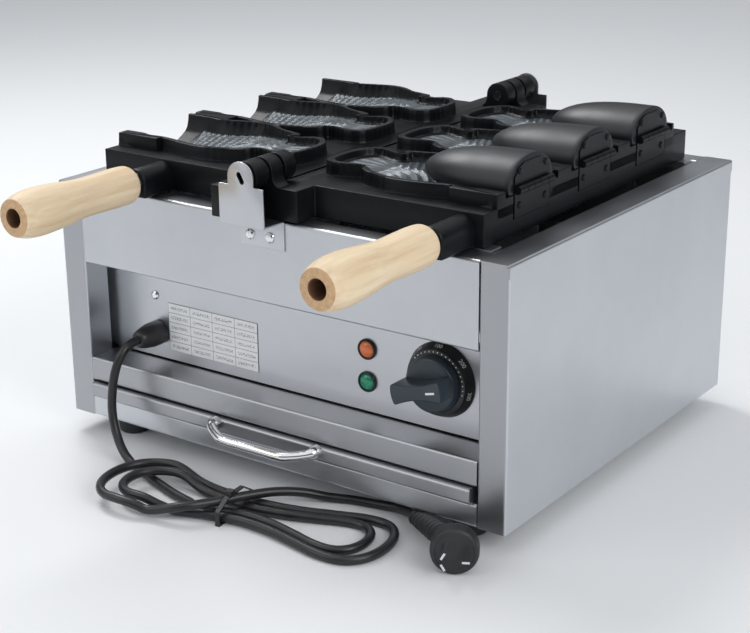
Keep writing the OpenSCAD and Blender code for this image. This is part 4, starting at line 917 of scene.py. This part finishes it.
def plate(name, mirrored, ear_y, end, block_end, boss_x, boss_out):
    """One casting with its ears, mouth block, boss and three fish."""
    half_plan = [(EAR_FROM, ear_y), (EAR_TO, ear_y), (EAR_TO, SIDE_Y), (OUT, SIDE_Y)]
    slab = slab_of(half_plan + [(u, DEPTH - v) for u, v in half_plan[::-1]], UNDER, WEB, 1.0)
    slope = Vector((-2.5, 0, 16)).normalized()
    edited(slab, lambda: cut_off((SLOPE_TO, 0, WEB), slope))
    ledge = box_of("ledge", (BLOCK_FROM, FISH_Y[0] + MOUTH_BELLY, BLOCK_LOW),
                   (block_end, FISH_Y[-1] + MOUTH_BACK, RIM), 0.8)
    for piece in (slab, ledge):
        carve(piece, wells(end))
        if not mirrored:
            for y in FISH_Y:
                carve(piece, box_of("notch", (202, y - MOUTH - 0.5, 270.75), (213, y + MOUTH + 0.5, 300)))
                carve(piece, box_of("pocket", (209, y - 31, 250.2), (214, y + 29, 300)))
    parts = [slab, ledge, boss(boss_x, boss_out)]
    for piece in parts:
        wear(piece, casting)
    shell = fish_shell(OUT - 0.05 if mirrored else end + 0.2)
    for y in FISH_Y:
        copy = new_object("fish", shell.data.copy())
        copy.data.transform(Matrix.Translation((0, y / 1000, 0)))
        parts.append(copy)
    bpy.data.objects.remove(shell)
    return in_drawing(joined(name, parts), mirrored)


left_casting = plate("left_casting", True, -22, PAST, 207.5, 137, 14)
done(left_casting, None, "left_plate", "cast_iron", "left_plate", angle=32)
right_casting = plate("right_casting", False, -1, 206, OUT, 190, 24)
done(right_casting, None, "right_plate", "cast_iron", "right_plate", angle=32)

# %% [markdown]
# A knuckle is a thick ring that grows out of the ear over a curved foot. We draw its side view,
# extrude it along the pin, round its edges and bore it, once for each place along the pin.

# %% Knuckles
def knuckle(y0, y1):
    """One knuckle between two places along the pin, in drawing metres."""
    ring = arc(13, 0, PIN_Z, 0, 294, 7)
    foot = [(3.4, 262.75), (19.6, WEB - 0.05), (17, 266.1), (15.1, 268), (13.8, 270.6), (13.1, 273.6)]
    piece = soften(block("knuckle", ring + foot, y1 - y0, facing(y0)), 0.9, 3, 50)
    bore = [(0, -3), (5.1, -3), (5.1, 24), (0, 24)]
    return carve(piece, turned_piece("bore", bore, Vector((0, y0, PIN_Z)) / 1000, TO_BACK, 48))


def knuckles(name, places, mirrored):
    """A plate's knuckles at both ends of the pin line."""
    parts = [knuckle(a, b) for y0, y1 in places for a, b in ((y0, y1), (DEPTH - y1, DEPTH - y0))]
    return in_drawing(joined(name, parts), mirrored)


left_rolls = knuckles("left_hinge_knuckles", [(-22, -4), (18, 33)], True)
done(left_rolls, casting, "left_plate", "cast_iron", "left_knuckles", angle=40)
right_rolls = knuckles("right_hinge_knuckles", [(-1, 15)], False)
done(right_rolls, casting, "right_plate", "cast_iron", "right_knuckles", angle=40)

# %% [markdown]
# A core closes a fish's mouth while the batter bakes and leaves room for the filling. It is a
# smooth blunt form, so we stack rings of an ellipse that shrink towards the tip, and round the
# edge at the flat end. A notch lets it hang over the plate's end wall, next to the hinge barrel.

# %% Cores
CORE_FLAT, CORE_TIP = 209, 105
CORE_WIDE, CORE_UP, CORE_DOWN = 36.5, 24, 21
SHARES = (0.05, 0.12, 0.2, 0.3, 0.4, 0.5, 0.6, 0.69, 0.77, 0.84, 0.9, 0.945, 0.975, 0.993)
core_steps = [(CORE_FLAT, 0.965), (208.6, 0.988), (207.6, 1.0)]
core_steps += [(CORE_FLAT - (CORE_FLAT - CORE_TIP) * s, (1 - s**3) ** 0.58) for s in SHARES]


def core_loft(name, y):
    """A core's closed form in the frame, from the flat end to the tip."""
    sides, rings = 56, []
    for x, f in core_steps:
        for k in range(sides):
            c, s = math.cos(2 * math.pi * k / sides), math.sin(2 * math.pi * k / sides)
            rings.append(at(x, y + CORE_WIDE * f * c, PIN_Z + f * s * (CORE_UP if s > 0 else CORE_DOWN)))
    tip = len(rings)
    rings.append(at(CORE_TIP, y, PIN_Z))
    faces = [list(range(sides))]
    for r in range(len(core_steps) - 1):
        for k in range(sides):
            m = (k + 1) % sides
            faces.append((r * sides + k, r * sides + m, (r + 1) * sides + m, (r + 1) * sides + k))
    faces += [(tip - sides + k, tip - sides + (k + 1) % sides, tip) for k in range(sides)]
    return edited(mesh_object(name, rings, (), faces), face_out)


for place, y in zip(("front", "middle", "back"), FISH_Y):
    core = core_loft("core_shell_" + place, y)
    carve(core, in_drawing(box_of("notch", (204.9, y - 38, 254), (212, y + 38, 271.25))))
    barrel = [(0, -30), (3.95, -30), (3.95, 30), (0, 30)]
    carve(core, turned_piece("barrel", barrel, at(212.9, y, 274.75), TO_BACK, 32))
    done(core, core_black, "core_" + place, "cast_iron", "core_" + place, angle=40)

# %% [markdown]
# Wood shows long fine streaks along the grain and a browner ring on the sawn end. The hole is painted dark,
# as the shade inside the bore. In bare wood the streaks carry the colour as well as the bump.

# %% Wood
def wood_finish(name, dark, light, stretch):
    """Bare wood with streaks for colour and bump."""
    material = finish(name, dark, light, 0.5, 0.64, 40, 0.05, stretch)
    tree = material.node_tree
    fine = next(n for n in tree.nodes if n.type == "GROUP" and n.node_tree == streak)
    fine.inputs["Dark"].default_value = (*dark, 1)
    fine.inputs["Light"].default_value = (*light, 1)
    tree.links.new(fine.outputs["Color"], tree.nodes["Principled BSDF"].inputs["Base Color"])
    return material


beech = wood_finish("bare_beech", (0.68, 0.5, 0.31), (0.85, 0.7, 0.49), (150.0, 7.0, 150.0))
beech_end = wood_finish("beech_end", (0.5, 0.3, 0.15), (0.68, 0.46, 0.26), (260.0, 10.0, 260.0))
# Painted shade: a near-black wood for the inside of the bore.
shaded_hole_beech = wood_finish("beech_bore_painted_shade", (0.09, 0.04, 0.02), (0.2, 0.1, 0.05), (200.0, 10.0, 200.0))
print("woods:", [wood.name for wood in (beech, beech_end, shaded_hole_beech)])

# %% [markdown]
# The grips are turned beech: a slow swell towards the hand's end, and a counterbore for the nut.
# Three materials share one mesh, chosen by where a face lies. A grip starts a little outside its
# boss, because a lock nut sits between them.

# %% Grips
HANDLES = (("left", -137, 8), ("right", 190, 18))
GRIP_GAP, GRIP_LONG = 14, 138
BORE, HOLE, HOLE_DEEP = 5.6, 8.0, 26
swell = [(14.5, 0), (16.2, 1.2), (17.1, 3.4), (17.5, 8), (17.8, 20), (17.5, 38), (17.2, 56), (17.8, 72),
         (19.4, 90), (20.6, 106), (21, 119), (20.6, 129), (19.4, 138), (17.4, 145), (16.4, 147.4),
         (15.2, 148)]
swell_line = smooth_line([Vector((r, GRIP_LONG * h / swell[-1][1], 0)) for r, h in swell], 3.0)
grip_profile = [(BORE, 0)] + [(p.x, p.y) for p in swell_line]
grip_profile += [(8.6, GRIP_LONG), (HOLE, GRIP_LONG - 0.6), (HOLE, GRIP_LONG - HOLE_DEEP),
                 (BORE, GRIP_LONG - HOLE_DEEP), (BORE, 0)]


def grip(name, x, out):
    """A turned grip with its bore, whose outer end points to the front."""
    piece = turned_piece(name, grip_profile, at(x, -out - GRIP_GAP, ROD_Z), TO_FRONT, 72)
    wear(piece, beech, beech_end, shaded_hole_beech)
    axis = at(x, -out - GRIP_GAP - GRIP_LONG, ROD_Z)
    for face in piece.data.polygons:
        # Painted shade: the faces of the bore and counterbore get the dark wood.
        if math.hypot(face.center.x - axis.x, face.center.z - axis.z) < (HOLE + 0.3) / 1000:
            face.material_index = 2
        elif face.center.y < axis.y + 0.0012:
            face.material_index = 1
    return piece


for side_name, x, out in HANDLES:
    piece = grip(side_name + "_turned_grip", x, out)
    done(piece, None, side_name + "_plate", "wood", side_name + "_handle_grip", angle=40)

# %% [markdown]
# Behind the grip a hexagonal nut locks the rod against the boss. It is a cylinder with six sides and
# slightly rounded corners, and it rides with its plate.

# %% Lock nuts
NUT_OUT = 9.8
for side_name, x, out in HANDLES:
    bpy.ops.mesh.primitive_cylinder_add(vertices=6, radius=0.0108, depth=0.0068,
                                        location=at(x, -out - NUT_OUT, ROD_Z),
                                        rotation=(math.pi / 2, math.pi / 6, 0))
    nut = bpy.context.object
    nut.name = side_name + "_lock_nut"
    bpy.ops.object.transform_apply(location=True, rotation=True, scale=True)
    done(soften(nut, 0.7, 2), bright, side_name + "_plate", "chrome", angle=30)

# %% [markdown]
# The dial is a black cone with white dots on its top edge and numbers on its flank. The text is
# made as mesh and laid on the cone by three directions: along the rim, up the flank and outwards.

# %% Dial
DIAL_X, DIAL_Z, DIAL_THICK = 163, 109.5, 10.5
dial_at = at(DIAL_X, PANEL_Y, DIAL_Z)


def on_dial(degrees, radius, out):
    """A point by its angle, its distance from the shaft and its height over the panel."""
    a = math.radians(degrees)
    return dial_at + Vector((radius * math.cos(a), -out, radius * math.sin(a))) / 1000


def dial_number(number, degrees):
    """A number as mesh, upright on the cone's flank."""
    bpy.ops.object.text_add()
    words = bpy.context.object
    words.data.body = number
    words.data.align_x = words.data.align_y = "CENTER"
    words.data.size = 0.0054
    words.data.extrude = 0.00008
    bpy.ops.object.convert(target="MESH")
    words = bpy.context.object
    a = math.radians(degrees)
    along = Vector((math.sin(a), 0, -math.cos(a)))
    rise = Vector((3.6 * math.cos(a), 7.3, 3.6 * math.sin(a))).normalized()
    place = Matrix((along, rise, along.cross(rise))).transposed().to_4x4()
    words.data.transform(Matrix.Translation(on_dial(degrees, 31.9, 5.65)) @ place)
    return words


cone = [(0, 0), (34, 0), (34, 1.2), (33.7, 2), (30.1, 9.3), (29.6, 10.1), (28.8, DIAL_THICK),
        (0, DIAL_THICK)]
dial = turned_piece("dial_cone", cone, dial_at, TO_FRONT, 96)
wear(dial, plastic)
marks = []
for k in range(18):
    bpy.ops.mesh.primitive_cylinder_add(vertices=16, radius=0.0006, depth=0.0002,
                                        location=on_dial(138 - 8.8 * k, 27.9, DIAL_THICK),
                                        rotation=(math.pi / 2, 0, 0))
    marks.append(bpy.context.object)
for number, degrees in (("50", 127), ("100", 90), ("200", 41), ("300", -13)):
    marks.append(dial_number(number, degrees))
for mark in marks:
    only(mark)
    bpy.ops.object.transform_apply(location=True, rotation=True, scale=True)
    wear(mark, white_paint)
done(joined("dial_cone", [dial] + marks), None, "cabinet", "black_plastic", "dial_bezel", angle=30)
print("dial marks:", len(marks))

# %% [markdown]
# The knob has a round skirt and a grip bar that is waisted in the middle and flares to its ends. We
# draw the bar from the front, extrude it along the shaft and round its edges, so that two light
# lines run along it. A short white line points to the scale.

# %% Knob
KNOB_Y, BAR_FROM, BAR_THICK = 24.9, 8.4, 22.6
TURN = math.radians(14)
knob_at = at(DIAL_X, KNOB_Y, DIAL_Z)


def on_knob(a, b, c):
    """A point by millimetres along the bar, across it and out along the shaft."""
    return knob_at + Vector((a * math.cos(TURN) - b * math.sin(TURN), -c,
                             a * math.sin(TURN) + b * math.cos(TURN))) / 1000


skirt_profile = [(0, 0), (25.4, 0), (25.8, 0.5), (25.6, 3), (25.1, 6.4), (24.5, 7.8), (23.4, 8.7), (21.8, 9),
                 (0, 9)]
skirt = turned_piece("skirt", skirt_profile, knob_at, TO_FRONT, 96)
flank = [(a, 6.2 + 3.4 * (a / 24) ** 2) for a in range(-23, 24, 2)]
cap = arc(25.5, 0, 0, 18, -19, -6)
outline = flank + cap + [(a, -b) for a, b in flank[::-1]] + [(-a, -b) for a, b in cap]
bar = soften(block("bar", outline, BAR_THICK, lambda a, b, c: on_knob(a, b, c + BAR_FROM)), 1.5, 3, 40)
pointer = block("pointer", [(11.5, -0.95), (20.5, -0.95), (20.5, 0.95), (11.5, 0.95)], 0.4,
                lambda a, b, c: on_knob(a, b, c + BAR_FROM + BAR_THICK - 0.2))
wear(skirt, slate)
wear(bar, slate)
wear(pointer, white_paint)
done(joined("grip_knob", [skirt, bar, pointer]), None, "knob", "knob", "thermostat_knob", angle=35)

# %% [markdown]
# Each pilot lamp is a thin black ring round a domed lens, both turned.

# %% Pilot lamps
LAMP_X = 85
ring_profile = [(7.7, -3), (9, -3), (9, 0), (9.6, 0), (9.6, 1.7), (9.2, 2.6), (8.5, 3), (7.9, 2.8),
                (7.7, 2.2), (7.7, -3)]
dome_profile = [(0, -3), (7.6, -3), (7.6, 1.4), (7.1, 2.4), (5.9, 3.3), (4.2, 4), (2.1, 4.4), (0, 4.5)]
rings = []
for lamp_z, glass, name, glow in ((121, orange, "lamp_orange", "lens_orange"),
                                  (90.5, green, "lamp_green", "lens_green")):
    seat = at(LAMP_X, PANEL_Y, lamp_z)
    rings.append(turned_piece("ring", ring_profile, seat, TO_FRONT, 64))
    dome = turned_piece(name + "_dome", dome_profile, seat, TO_FRONT, 64)
    done(dome, glass, "cabinet", glow, name, angle=50)
done(joined("lamp_rings", rings), plastic, "cabinet", "black_plastic", "lamp_bezels", angle=40)

# %% [markdown]
# The front hinge bracket is one folded strip: a lobe that holds the pin, a flat face, a shelf back to
# the cabinet and a screwed tab. A slanted slot of two round ends goes through the lobe.

# %% Hinge bracket
HALF, FACE_Y = 24.5, -28
shoulder = [(HALF, 235), (HALF, 269), (HALF - 1, 270), (14, 270)]
face_outline = ([(-HALF, 235)] + shoulder + arc(14, 0, PIN_Z, 0, 181, 6)
                + [(-a, b) for a, b in shoulder[:0:-1]])
face = soften(block("face", face_outline, 1.5, facing(FACE_Y)), 0.35, 2, 50)
keyhole = arc(2.5, -1.4, 279.6, 30, 211, 15) + arc(2.5, 1.8, 273.8, 210, 391, 15)
carve(face, block("keyhole", keyhole, 8, facing(FACE_Y - 3)))
shelf = box_of("shelf", (-HALF, -27.6, 235), (HALF, -0.2, 236.5), 0.35)
tab = box_of("tab", (-HALF, -1.5, 209), (HALF, 0, 236.5), 0.35)
bracket = in_drawing(joined("front_bracket", [face, shelf, tab]))
done(bracket, steel_front_shaded, "cabinet", "stainless", "hinge_bracket_front", angle=30)

# %% [markdown]
# The hinge pin is turned: a flat head behind the slot, and a shank that runs through the knuckles.

# %% Hinge pin
pin_profile = [(0, 6), (4.6, 6), (4.6, 0), (7.4, 0), (8, 0.6), (8, 3.6), (7.4, 4.2), (6, 4.2), (5, 6.4),
               (5, 59), (4, 60), (0, 60)]
pin = turned_piece("front_hinge_pin", pin_profile, at(0, -26.4, PIN_Z), TO_BACK, 48)
done(pin, pin_painted_shade, "cabinet", "chrome", "hinge_pin_front", angle=40)

# %% [markdown]
# The drawer's bow handle is a round bar bent by hand, with flared feet. We lay a smooth line, give it
# a round bevel, widen it at its ends and turn it into a mesh.

# %% Bow handle
half = [(58.5, -5.8, 32), (58.5, -9, 32), (56.5, -14.5, 31.4), (49.5, -19.5, 30), (42, -23.8, 29),
        (35.5, -26.6, 28.3), (27, -27.3, 28), (13, -27.3, 28)]
bow_line = smooth_line([Vector((-x, y, z)) for x, y, z in half] + [Vector(p) for p in half[::-1]], 1.5)
bow = round_bar("bow_handle", [at(*place) for place in bow_line], 9, 6)
for point, place in zip(bow.data.splines[0].points, bow_line):
    point.radius = 1 + 0.4 * smooth(abs(place.x), 55.5, 58.8)
only(bow)
bpy.ops.object.convert(target="MESH")
done(bpy.context.object, bright, "drawer", "chrome", "drawer_handle", angle=60)

# %% [markdown]
# The rating label is a thin plate with a ruled table. Its lines come from a brick pattern on the
# plate's own coordinates. A second one with wide gaps keeps small dark dashes inside the rows, which
# stand for the lines of data, without words.

# %% Rating label
tree = label_face.node_tree
parts = object_place(tree)
table = add_node(tree, "CombineXYZ", {"X": maths(tree, "ADD", parts["X"], 0.15),
                                      "Y": maths(tree, "ADD", parts["Z"], -0.092)}).outputs[0]
BLACK, WHITE = (0, 0, 0, 1), (1, 1, 1, 1)


def table_cells(gap, cell, line):
    """The label's table, with its lines as wide as the gap, in metres."""
    bricks = add_node(tree, "TexBrick", {"Vector": table, "Scale": 1, "Mortar Size": gap,
                                         "Mortar Smooth": 0, "Brick Width": 0.0275, "Row Height": 0.0096,
                                         "Color1": cell, "Color2": cell, "Mortar": line}, offset=0)
    return bricks.outputs["Color"]


rules = table_cells(0.00022, BLACK, WHITE)
rows = table_cells(0.0033, WHITE, BLACK)
strokes = maths(tree, "GREATER_THAN", noise(tree, table, 900, 2), 0.54)
ink = maths(tree, "MAXIMUM", maths(tree, "MULTIPLY", strokes, rows), rules)
recolour(label_face, ink, (0.14, 0.14, 0.15))
print("label nodes:", len(tree.nodes))
